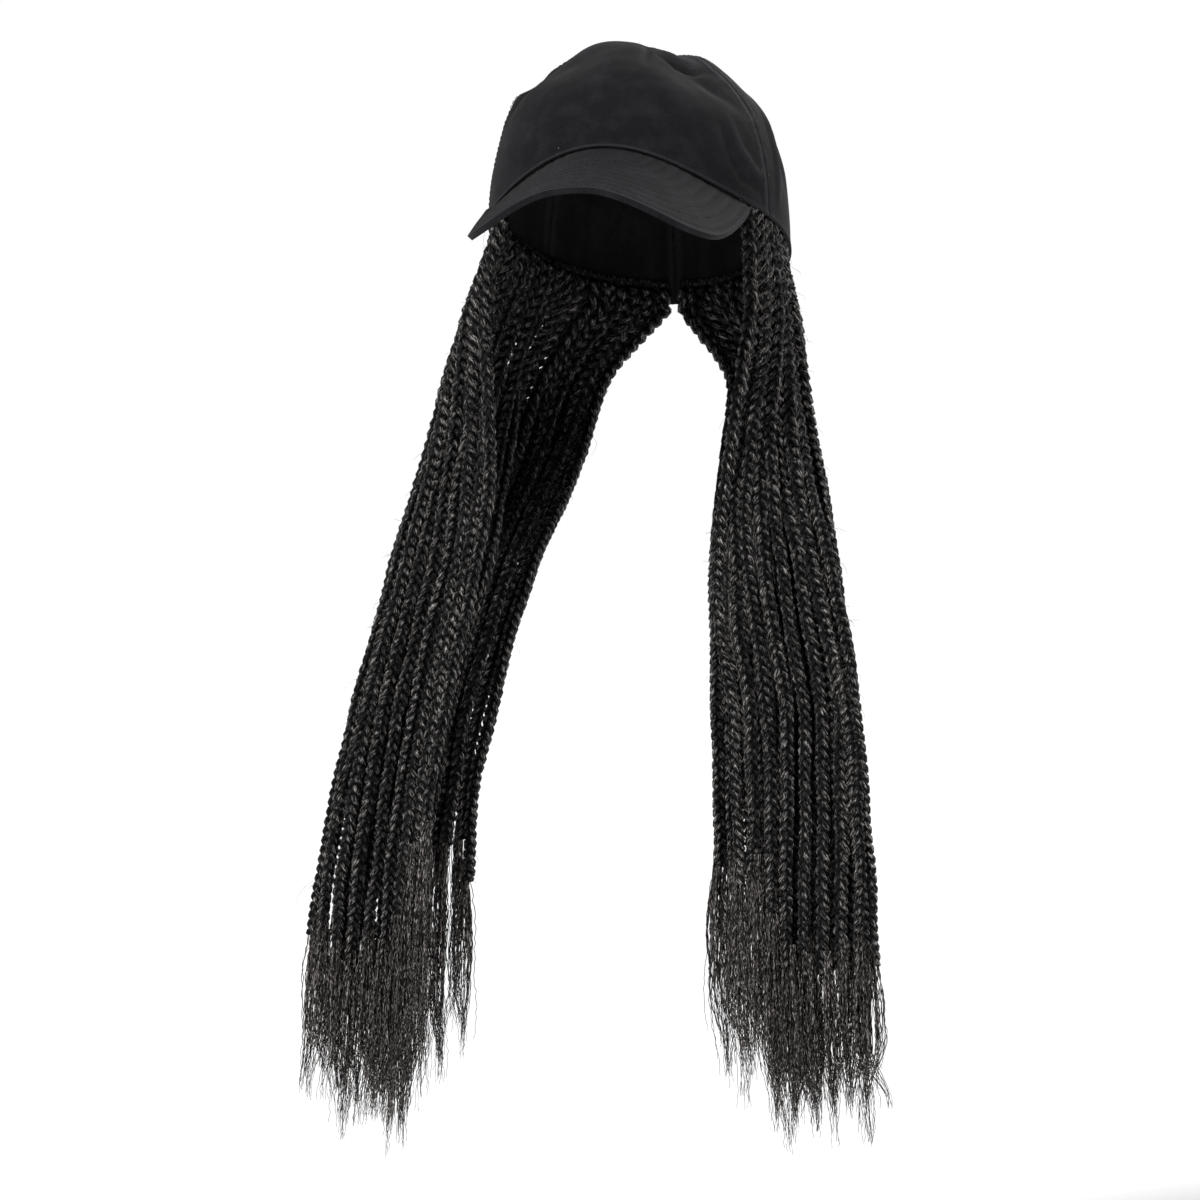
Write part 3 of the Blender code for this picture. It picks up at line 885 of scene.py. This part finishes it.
class BRAIDWIG_OT_crown(bpy.types.Operator):
    """Five panels of washed cotton twill, with sunk seams, creases and a folded rim"""

    bl_idname = "braid_wig.crown"
    bl_label = "Crown Panels"

    panels = (
        ("front_panel", -SIDE_SEAM_TURN, SIDE_SEAM_TURN),
        ("left_side_panel", SIDE_SEAM_TURN, BACK_SEAM_TURN),
        ("left_back_panel", BACK_SEAM_TURN, 180.0),
        ("right_back_panel", 180.0, 360.0 - BACK_SEAM_TURN),
        ("right_side_panel", 360.0 - BACK_SEAM_TURN, 360.0 - SIDE_SEAM_TURN),
    )

    def execute(self, context):
        settings = context.scene.braid_wig_crown
        twill = washed_twill("washed_cotton_twill", settings, mottle=55.0)
        top_angle = math.acos((PANEL_HOLE_RADIUS * 0.6 / CROWN_HALF_WIDTH) ** (CROWN_FULLNESS / 2))
        top_climb = top_angle / (math.pi / 2)
        for name, first, last in self.panels:
            middle = (first + last) / 2

            def turn_and_climb(across, up):
                return first + (last - first) * across, up ** ROW_CROWDING * top_climb

            def place(across, up):
                turn, climb = turn_and_climb(across, up)
                radius = smooth_crown_point(math.radians(turn), climb).xy.length
                turn += math.degrees((across - 0.5) * SEAM_OVERLAP / radius)
                return cloth_crown_point(turn, climb, settings)

            def pattern(across, up):
                turn, climb = turn_and_climb(across, up)
                smooth = smooth_crown_point(math.radians(turn), climb)
                height = smooth.z - rim_height(math.radians(turn))
                sideways = math.radians(turn - middle) * smooth.xy.length + first * 0.001
                gap = seam_distance(turn, smooth.xy.length)
                # Rubbed along the hem's edge, beside the seams and on the ridges of creases
                rubbed = 0.9 * bell(height - 0.0007, 0.0006)
                rubbed += 0.45 * bell(gap - 0.003, 0.0016)
                rubbed += 0.5 * max(crease_relief(smooth), 0.0) / 0.002
                return (sideways, climb * 0.15, 0.0), rubbed

            columns = round((last - first) / COLUMN_TURN)
            piece = cloth_sheet(
                name + "_cloth", columns, CROWN_ROWS, place, pattern, CLOTH, 0.0007, twill)
            finish_piece(piece, "crown_twill", name)
        return {"FINISHED"}


class BRAIDWIG_OT_button(bpy.types.Operator):
    """The cloth-covered button over the panel points"""

    bl_idname = "braid_wig.button"
    bl_label = "Top Button"

    def execute(self, context):
        settings = context.scene.braid_wig_crown
        top = crown_point(0.0, 1.0)
        ahead = crown_point(0.0, NEAR_TOP)
        aside = crown_point(math.pi / 2, NEAR_TOP)
        normal = (ahead - top).cross(aside - top).normalized()
        shape = bmesh.new()
        bmesh.ops.create_uvsphere(shape, u_segments=48, v_segments=24, radius=1.0)
        geometry = shape.verts[:] + shape.edges[:] + shape.faces[:]
        bmesh.ops.bisect_plane(
            shape, geom=geometry, dist=MERGE_DISTANCE,
            plane_co=(0, 0, -0.12), plane_no=(0, 0, 1), clear_inner=True)
        bmesh.ops.holes_fill(shape, edges=shape.edges[:], sides=0)
        cloth = shape.verts.layers.float_vector.new("cloth")
        worn = shape.verts.layers.float.new("worn")
        for vertex in shape.verts:
            turn = math.atan2(vertex.co.y, vertex.co.x)
            # Gathers round the edge, where the cloth is drawn under
            gather = 0.03 * math.cos(14 * turn) * max(1.0 - vertex.co.z, 0.0)
            vertex[worn] = 0.7 * bell(vertex.co.z - 0.5, 0.3)
            vertex.co.xy *= 1.0 + gather
            vertex.co.x *= BUTTON_RADIUS
            vertex.co.y *= BUTTON_RADIUS
            vertex.co.z *= BUTTON_HEIGHT
            vertex[cloth] = vertex.co.copy()
        bmesh.ops.rotate(
            shape, verts=shape.verts[:], cent=(0, 0, 0),
            matrix=normal.to_track_quat("Z", "Y").to_matrix())
        bmesh.ops.translate(shape, verts=shape.verts[:], vec=top + normal * 2 * GAP)
        bmesh.ops.recalc_face_normals(shape, faces=shape.faces[:])
        mesh = shape_mesh("top_button_cloth", shape)
        twill = washed_twill("button_cotton_twill", settings, mottle=90.0)
        finish_piece(link_mesh("top_button_cloth", mesh, twill), "crown_twill", "top_button")
        return {"FINISHED"}


class BRAIDWIG_OT_seams(bpy.types.Operator):
    """A row of stitches down each side of every crown seam"""

    bl_idname = "braid_wig.seams"
    bl_label = "Seam Stitches"

    def execute(self, context):
        settings = context.scene.braid_wig_crown
        threads = []
        rng = random.Random(5)
        for seam in SEAMS:
            for side in (-1, 1):
                threads += self.row(seam, side * SEAM_STITCH_OFFSET, settings, rng)
        thread = polyester_thread("black_sewing_thread", settings)
        thread_piece("crown_stitches", threads, 4, 6, thread, "crown_twill")
        return {"FINISHED"}

    def row(self, seam, offset, settings, rng):
        """Stitches up one side of a seam, from the rim to the button."""
        spots = []
        for step in range(SEAM_STEPS + 1):
            climb = 0.015 + 0.93 * step / SEAM_STEPS
            radius = smooth_crown_point(math.radians(seam), climb).xy.length
            turn = seam + math.degrees(offset / max(radius, abs(offset) * 1.5))
            spots.append(cloth_crown_point(turn, climb, settings))
        return stitches(spots, settings.stitch, rng)


def stitches(spots, length, rng):
    """Short threads that rise from the cloth and go back, along a line of close points."""
    threads = []
    travelled = 0.0
    start = 0
    for index in range(1, len(spots)):
        travelled += (spots[index] - spots[index - 1]).length
        if travelled < length:
            continue
        first, last = spots[start], spots[index]
        run = last - first
        middle = spots[(start + index) // 2]
        out = middle.normalized()
        skew = run.cross(out).normalized() * length * rng.uniform(-0.03, 0.03)
        threads.append([
            (first + 0.14 * run - 0.0002 * out, 0.00012),
            (first + 0.24 * run + 0.00012 * out + skew, 0.00020),
            (middle + 0.00016 * out + skew, 0.00021),
            (first + 0.76 * run + 0.00012 * out + skew, 0.00020),
            (first + 0.86 * run - 0.0002 * out, 0.00012),
        ])
        travelled = 0.0
        start = index
    return threads


class BRAIDWIG_OT_peak(bpy.types.Operator):
    """The curved peak, with its rows of stitches drawn into the cloth"""

    bl_idname = "braid_wig.peak"
    bl_label = "Peak"

    def execute(self, context):
        crown = context.scene.braid_wig_crown
        settings = context.scene.braid_wig_peak
        edge = kdtree.KDTree(PEAK_EDGE_STEPS + 1)
        for step in range(PEAK_EDGE_STEPS + 1):
            spot = peak_edge_point(2 * step / PEAK_EDGE_STEPS - 1)
            edge.insert((spot.x, spot.y, 0.0), step)
        edge.balance()

        def edge_distance(point):
            return edge.find((point.x, point.y, 0.0))[2]

        rows = [settings.edge_row + settings.spacing * row for row in range(settings.rows + 1)]

        def place(across, up):
            point = peak_point(across, up)
            distance = edge_distance(point)
            dip = sum(bell(distance - row, 0.0008) for row in rows)
            ripple = noise_at(point.x * 45, point.y * 45, 2.0)
            # The peak is bent a little less at the right
            lift = 0.0024 * smoothstep((-point.x - 0.045) / 0.03)
            return point + Vector((0, 0, lift - settings.dip * dip + 0.0005 * ripple))

        def pattern(across, up):
            point = peak_point(across, up)
            distance = edge_distance(point)
            # Paler along the rubbed edge, and in a line beside each row of stitches which is partly
            # rubbed cloth and partly painted highlight
            rubbed = 0.5 * bell(distance - 0.0010, 0.0007)
            rubbed += 0.22 * sum(bell(distance - row - 0.0017, 0.0008) for row in rows)
            return (point.x, point.y, 0.0), rubbed

        twill = washed_twill("peak_cotton_twill", crown, mottle=70.0)
        piece = cloth_sheet(
            "peak_cloth", 96, 96, place, pattern, PEAK_THICKNESS, 0.0013, twill)
        finish_piece(piece, "peak_twill", "peak")
        rng = random.Random(8)
        threads = []
        for row in rows:
            threads += self.row(row, edge_distance, place, crown.stitch, rng)
        thread = polyester_thread("peak_sewing_thread", crown)
        thread_piece("peak_stitches", threads, 4, 9, thread, "peak_twill")
        return {"FINISHED"}

    def row(self, distance, edge_distance, place, length, rng):
        """One row of stitches, at an even distance from the peak's edge."""
        spots = []
        for step in range(PEAK_ROW_STEPS + 1):
            across = 0.01 + 0.98 * step / PEAK_ROW_STEPS
            low, high = 0.0, 1.0
            if edge_distance(peak_point(across, high)) < distance + 0.002:
                if len(spots) > 20:
                    break
                continue
            for _ in range(HALVINGS):
                up = (low + high) / 2
                if edge_distance(peak_point(across, up)) < distance:
                    low = up
                else:
                    high = up
            spots.append(place(across, (low + high) / 2))
        return [
            [(Vector((point.x, point.y, point.z + 0.0001)), radius) for point, radius in thread]
            for thread in stitches(spots, length, rng)
        ]


def braid_route(side, weft, number, rng):
    """A braid's middle line, the level where its plaiting ends and its table.

    The line is a list of (point, sideways, outwards, distance from the root).
    """
    share = number / (weft.braids - 1)
    place = weft_place(weft, share)
    table = braid_table(side, weft, number)
    before = row_table(side, weft, share - 0.04)
    after = row_table(side, weft, share + 0.04)
    end = read_table(LENGTHS, place, 1 if side < 0 else 2) * HAIR_DROP
    end += rng.uniform(-0.018, 0.012)
    top = wall_point(weft_turn(weft, share), ROOT_LENGTH, ROOT_INSET)
    start = table[0][0]
    centres = [Vector((side * top.x, top.y, top.z))]
    rows = [Vector((0.0, 0.0, 0.0))]
    steps = int((end - start) / ROUTE_STEP)
    wander = rng.uniform(0.0, 100.0)
    for step in range(steps + 1):
        level = start + (end - start) * step / steps
        x = read_table(table, level, 1)
        y = read_table(table, level, 2)
        sway = smoothstep((level - start) / 0.06)
        x += sway * 0.0020 * noise_at(wander, 0.0, level * 24.0)
        y += sway * 0.0014 * noise_at(0.0, wander, level * 22.0)
        # Neighbours drift together, so the curtain opens nowhere
        x += sway * 0.0055 * noise_at(share * 1.3, side + 4.0 * weft.row, level * 6.0)
        x += hang(side, place, level)
        y += fan(share, level)
        centres.append(Vector((side * x, y, -level)))
        wide = Vector((
            read_table(after, level, 1) - read_table(before, level, 1),
            read_table(after, level, 2) - read_table(before, level, 2), 0.0))
        rows.append(Vector((side * wide.x, wide.y, 0.0)))
    rows[0] = rows[1]
    route = []
    travelled = 0.0
    roll = rng.uniform(-0.9, 0.9)
    turn = rng.uniform(0.0, 100.0)
    for index, centre in enumerate(centres):
        if index:
            travelled += (centre - centres[index - 1]).length
        ahead = centres[min(index + 1, len(centres) - 1)]
        behind = centres[max(index - 1, 0)]
        tangent = (ahead - behind).normalized()
        across = rows[index]
        across = (across - across.dot(tangent) * tangent).normalized()
        if across.x < 0:
            across.negate()
        outwards = across.cross(tangent)
        angle = roll + 0.7 * noise_at(turn, travelled * 9.0, 0.0)
        sideways = across * math.cos(angle) + outwards * math.sin(angle)
        outwards = outwards * math.cos(angle) - across * math.sin(angle)
        route.append((centre, sideways, outwards, travelled))
    return route, end, table


def along_route(route, distance, index):
    """Point and directions of a route at a distance, and the place in the list where it lies."""
    while index < len(route) - 2 and route[index + 1][3] < distance:
        index += 1
    start, end = route[index], route[index + 1]
    share = (distance - start[3]) / max(end[3] - start[3], 1e-9)
    share = min(max(share, 0.0), 1.0)
    return (
        start[0].lerp(end[0], share),
        start[1].lerp(end[1], share).normalized(),
        start[2].lerp(end[2], share).normalized(),
        index,
    )


def braid_width(settings, share):
    """Usual width of a braid at a share of its plaited length."""
    return settings.root_width + (settings.end_width - settings.root_width) * share ** 0.8


def plait(route, settings, rng):
    """Three strands plaited along a route, each a list of (point, radius), and their core."""
    length = route[-1][3]
    strands = ([], [], [])
    core = []
    phase = rng.uniform(0.0, 2 * math.pi)
    lumps = rng.uniform(0.0, 1000.0)
    size = rng.uniform(0.90, 1.10)
    travelled = 0.0
    index = 0
    while travelled <= length:
        share = travelled / length
        width = braid_width(settings, share) * size
        round_length = settings.root_turn + (settings.end_turn - settings.root_turn) * share
        centre, sideways, outwards, index = along_route(route, travelled, index)
        core.append((centre, width))
        for number, strand in enumerate(strands):
            angle = phase + number * 2 * math.pi / 3
            across = STRAND_SWING * width * math.sin(angle)
            depth = -STRAND_DEPTH * width * math.sin(2 * angle)
            # A strand is drawn in where it passes under and swells where it lies on top
            swell = 0.08 * math.sin(2 * angle + math.pi)
            swell += 0.22 * noise_at(lumps + number * 9.0, travelled * 130.0, 0.0)
            radius = STRAND_RADIUS * width * (1.0 + swell)
            strand.append((centre + across * sideways + depth * outwards, radius))
        travelled += round_length / RINGS_A_ROUND
        phase += 2 * math.pi / RINGS_A_ROUND
    return strands, core


def stray_fibres(route, settings, rng):
    """Short fibres that have worked loose and stand off a braid."""
    length = route[-1][3]
    fibres = []
    for _ in range(settings.strays):
        share = rng.random()
        centre, sideways, outwards, index = along_route(route, length * share, 0)
        following, _, _, _ = along_route(route, min(length * share + 0.004, length), index)
        tangent = (following - centre).normalized()
        angle = rng.uniform(0.0, 2 * math.pi)
        out = math.cos(angle) * sideways + math.sin(angle) * outwards
        reach = rng.uniform(0.0015, 0.0045) if rng.random() < 0.85 else rng.uniform(0.005, 0.010)
        start = centre + out * braid_width(settings, share) * 0.36
        lean = tangent * rng.uniform(0.4, 1.6) * reach
        curl = Vector((rng.uniform(-1, 1), rng.uniform(-1, 1), rng.uniform(-1, 1))) * reach * 0.4
        fibres.append([
            (start, 0.00009),
            (start + out * reach * 0.6 + lean * 0.4, 0.00009),
            (start + out * reach * 0.9 + lean * 0.8 + curl, 0.00007),
            (start + out * reach + lean * 1.3 + curl * 1.8, 0.00004),
        ])
    return fibres


def loose_end(side, table, end, place, share_of_weft, settings, rng):
    """The unplaited end of a braid: woolly tufts and fine crimped strands, drawn into wisps."""
    tip = read_table(LENGTHS, place, 3) + rng.uniform(-0.020, 0.010)
    # The inner wisps hang longer than the solids show, and the middle ones shorter
    tip += 0.030 * bell(place - 0.30, 0.13)
    tip -= 0.018 * bell(place - 0.62, 0.16)
    tip *= HAIR_DROP
    hem = side * (read_table(table, tip, 1) + hang(side, place, tip))
    wisps = []
    for _ in range(2):
        angle = rng.uniform(0.0, 2 * math.pi)
        reach = rng.uniform(0.001, 0.007)
        drop = 1.0 - 0.26 * rng.random() ** 0.8
        gather = Vector((math.cos(angle), math.sin(angle), 0.0)) * reach
        # Wisps of neighbouring braids share one point and one length
        lock = math.floor((hem + gather.x) / WISP_SPACING)
        uneven = noise_at(lock * 1.7, side * 5.0, 2.0)
        gather.x += WISP_PULL * ((lock + 0.5 + 0.5 * uneven) * WISP_SPACING - hem - gather.x)
        drop *= 1.0 + 0.26 * noise_at(lock * 2.3, side * 9.0, 7.0)
        wisps.append((gather, drop))
    strands = []
    for number in range(settings.tufts + settings.loose_strands):
        tuft = number < settings.tufts
        gather, drop = wisps[number % 2]
        angle = rng.uniform(0.0, 2 * math.pi)
        reach = math.sqrt(rng.random()) * (0.6 if tuft else 1.0)
        out = Vector((math.cos(angle), 0.75 * math.sin(angle), 0.0)) * reach
        own = drop * (1.0 - (0.14 if tuft else 0.28) * rng.random() ** 1.5)
        # One strand in seven stays out of its wisp
        draw = 1.0 if tuft or rng.random() > 0.14 else 0.3
        thread = rng.uniform(0.0, 1000.0)
        start = end - LOOSE_OVERLAP
        count = max(round((tip - start) * own / settings.crimp_length), 4)
        points = []
        for step in range(count + 1):
            share = step / count * own
            level = start + (tip - start) * share
            away = read_table(table, level, 1) + hang(side, place, level)
            back = read_table(table, level, 2) + fan(share_of_weft, level)
            middle = Vector((side * away, back, -level))
            spread = 0.0035 + 0.0045 * smoothstep(share / 0.35)
            point = middle + out * spread
            drawn = draw * smoothstep((share - DRAWN_FROM) / (DRAWN_BY * drop - DRAWN_FROM))
            point = point.lerp(middle + gather + out * 0.0008, drawn)
            crimp = (0.0004 if tuft else 0.0006) * smoothstep(share / 0.06)
            point.x += crimp * rng.uniform(-1, 1)
            point.y += crimp * rng.uniform(-1, 1)
            sway = 0.0048 * smoothstep(share / 0.5)
            wave = (level - end) / 0.055
            point.x += sway * noise_at(thread * 0.37, wave, 3.0)
            point.y += sway * noise_at(3.0, thread * 0.37, wave)
            run = step / count
            if tuft:
                radius = settings.tuft_radius * (1.0 - 0.88 * smoothstep((run - 0.10) / 0.90))
                radius *= rng.uniform(0.75, 1.25)
            else:
                radius = settings.loose_radius * (1.0 - 0.5 * run ** 2)
            points.append((point, radius))
        strands.append(points)
    return strands


class BRAIDWIG_OT_braids(bpy.types.Operator):
    """Box braids of three plaited strands, their backing strips, stray fibres and loose ends"""

    bl_idname = "braid_wig.braids"
    bl_label = "Box Braids"

    def execute(self, context):
        settings = context.scene.braid_wig_braids
        # The plaited fibre, with painted highlights where its strands stand proud
        plaited = modacrylic_fibre(
            "modacrylic_fibre", settings.fibre, settings.painted_highlight, coverage=0.285, least=0.0)
        # The loose ends and stray fibres: a paler copy of the fibre, with painted light shining
        # through thin fibre and painted highlights
        painted_light_fibre = modacrylic_fibre(
            "loose_modacrylic_fibre", linear("#161413"), settings.loose, coverage=0.30, least=0.32)
        for side in (1, -1):
            hand = "left_" if side > 0 else "right_"
            strays = []
            for weft in WEFTS:
                braids = []
                cores = []
                ends = []
                for number in range(weft.braids):
                    rng = random.Random(f"{hand}{weft.name}{number}")
                    share = number / (weft.braids - 1)
                    route, end, table = braid_route(side, weft, number, rng)
                    strands, core = plait(route, settings, rng)
                    braids += strands
                    cores += core * len(strands)
                    strays += stray_fibres(route, settings, rng)
                    place = weft_place(weft, share)
                    ends += loose_end(side, table, end, place, share, settings, rng)
                name = hand + weft.name
                thread_piece(
                    name + "_box_braids", braids, 5, 11, plaited, "synthetic_hair",
                    name + "_braids", cores=cores)
                thread_piece(name + "_loose_ends", ends, 3, 12, painted_light_fibre, "synthetic_hair")
                self.backing(side, weft, name, plaited)
            thread_piece(hand + "stray_fibres", strays, 3, 13, painted_light_fibre, "synthetic_hair")
        return {"FINISHED"}

    def backing(self, side, weft, name, material):
        """The strip inside the rim that a row of braids is sewn to."""
        margin = 0.5 / (weft.braids - 1)

        def place(across, up):
            share = across if side > 0 else 1 - across
            turn = weft_turn(weft, (1 + 2 * margin) * share - margin)
            point = wall_point(turn, STRIP_LIFT + STRIP_HEIGHT * up, CLOTH + 2 * GAP)
            return Vector((side * point.x, point.y, point.z))

        def pattern(across, up):
            # A set share of the fibre's painted highlight
            return (across * 0.08, 0.0, up * STRIP_HEIGHT), 0.3

        strip = walled_sheet(
            name + "_backing", 36, 6, place, pattern, ("strand", "tint"), STRIP_THICKNESS, material)
        finish_piece(strip, "synthetic_hair")


class BRAIDWIG_OT_stage(bpy.types.Operator):
    """Pale floor, soft studio light and the camera"""

    bl_idname = "braid_wig.stage"
    bl_label = "Stage"

    def execute(self, context):
        settings = context.scene.braid_wig_stage
        scene = context.scene
        shape = bmesh.new()
        bmesh.ops.create_circle(shape, cap_ends=True, segments=96, radius=60.0)
        bmesh.ops.translate(shape, verts=shape.verts[:], vec=(0, 0, settings.floor_level))
        mesh = shape_mesh("floor", shape)
        material, tree, shader = new_material("pale_studio_floor")
        # Matt emulsion paint: even, with a faint roller texture of a few millimetres
        place = add_node(tree, "ShaderNodeTexCoord", {}, {})
        texture = add_node(tree, "ShaderNodeTexNoise", {}, {
            "Vector": place.outputs["Object"], "Scale": 250.0, "Detail": 2.0})
        bump = add_node(tree, "ShaderNodeBump", {}, {
            "Height": texture.outputs["Fac"], "Strength": 0.1, "Distance": 0.0005})
        set_inputs(tree, shader, {
            "Base Color": (*settings.floor, 1.0), "Normal": bump.outputs["Normal"],
            "Roughness": 0.95, "Specular IOR Level": 0.0})
        link_mesh("floor", mesh, material)

        world = bpy.data.worlds.new("white_studio")
        scene.world = world
        world.use_nodes = True
        tree = world.node_tree
        back = tree.nodes["Background"]
        set_inputs(tree, back, {"Color": WHITE, "Strength": settings.fill})
        seen = add_node(tree, "ShaderNodeBackground", {}, {"Color": WHITE, "Strength": 1.0})
        path = add_node(tree, "ShaderNodeLightPath", {}, {})
        mixed = add_node(tree, "ShaderNodeMixShader", {}, {
            0: path.outputs["Is Camera Ray"], 1: back.outputs[0], 2: seen.outputs[0]})
        set_inputs(tree, tree.nodes["World Output"], {"Surface": mixed.outputs[0]})

        for name, place, share, spread in SUNS:
            self.sun(name, place, settings.key * share, spread)

        turn = math.radians(CAMERA_TURN)
        sideways = Vector((math.cos(turn), math.sin(turn), 0.0))
        back_away = Vector((math.sin(turn), -math.cos(turn), 0.0))
        lens = bpy.data.cameras.new("camera")
        lens.sensor_width = SENSOR
        lens.lens = CAMERA_LENS
        lens.clip_end = 200.0
        camera = bpy.data.objects.new("camera", lens)
        aim = sideways * CAMERA_SIDEWAYS + Vector((0.0, 0.0, CAMERA_HEIGHT))
        camera.location = aim + back_away * CAMERA_DISTANCE
        camera.rotation_euler = (math.radians(90.0), 0.0, turn)
        scene.collection.objects.link(camera)
        scene.camera = camera
        scene.view_settings.view_transform = "Standard"
        return {"FINISHED"}

    def sun(self, name, place, strength, spread):
        """A soft parallel light that comes from a place's direction."""
        light = bpy.data.lights.new(name, "SUN")
        light.energy = strength
        light.angle = math.radians(spread)
        lamp = bpy.data.objects.new(name, light)
        lamp.location = place
        lamp.rotation_mode = "QUATERNION"
        lamp.rotation_quaternion = Vector(place).to_track_quat("Z", "Y")
        bpy.context.scene.collection.objects.link(lamp)


class BRAIDWIG_PT_panel(bpy.types.Panel):
    """Sizes, colours and makers of the braid wig"""

    bl_idname = "BRAIDWIG_PT_panel"
    bl_label = "Braid Wig"
    bl_space_type = "VIEW_3D"
    bl_region_type = "UI"
    bl_category = "Braid Wig"

    def draw(self, context):
        for group, operators in PANEL_PARTS:
            box = self.layout.box()
            for name in SETTINGS[group].__annotations__:
                box.prop(getattr(context.scene, group), name)
            for operator in operators:
                box.operator(operator)


SETTINGS = {
    "braid_wig_crown": CrownSettings,
    "braid_wig_peak": PeakSettings,
    "braid_wig_braids": BraidSettings,
    "braid_wig_stage": StageSettings,
}
PANEL_PARTS = (
    ("braid_wig_crown", ("braid_wig.crown", "braid_wig.button", "braid_wig.seams")),
    ("braid_wig_peak", ("braid_wig.peak",)),
    ("braid_wig_braids", ("braid_wig.braids",)),
    ("braid_wig_stage", ("braid_wig.stage",)),
)
OPERATORS = (
    BRAIDWIG_OT_crown,
    BRAIDWIG_OT_button,
    BRAIDWIG_OT_seams,
    BRAIDWIG_OT_peak,
    BRAIDWIG_OT_braids,
    BRAIDWIG_OT_stage,
)


def register():
    """Adds the settings, operators and panel."""
    for made in (*SETTINGS.values(), *OPERATORS, BRAIDWIG_PT_panel):
        bpy.utils.register_class(made)
    for name, group in SETTINGS.items():
        setattr(bpy.types.Scene, name, bpy.props.PointerProperty(type=group))


def unregister():
    """Takes them away again."""
    for name in SETTINGS:
        delattr(bpy.types.Scene, name)
    for made in reversed((*SETTINGS.values(), *OPERATORS, BRAIDWIG_PT_panel)):
        bpy.utils.unregister_class(made)


def main():
    """Makes every piece and the stage."""
    register()
    bpy.ops.braid_wig.crown()
    bpy.ops.braid_wig.button()
    bpy.ops.braid_wig.seams()
    bpy.ops.braid_wig.peak()
    bpy.ops.braid_wig.braids()
    bpy.ops.braid_wig.stage()


if __name__ == "__main__":
    main()
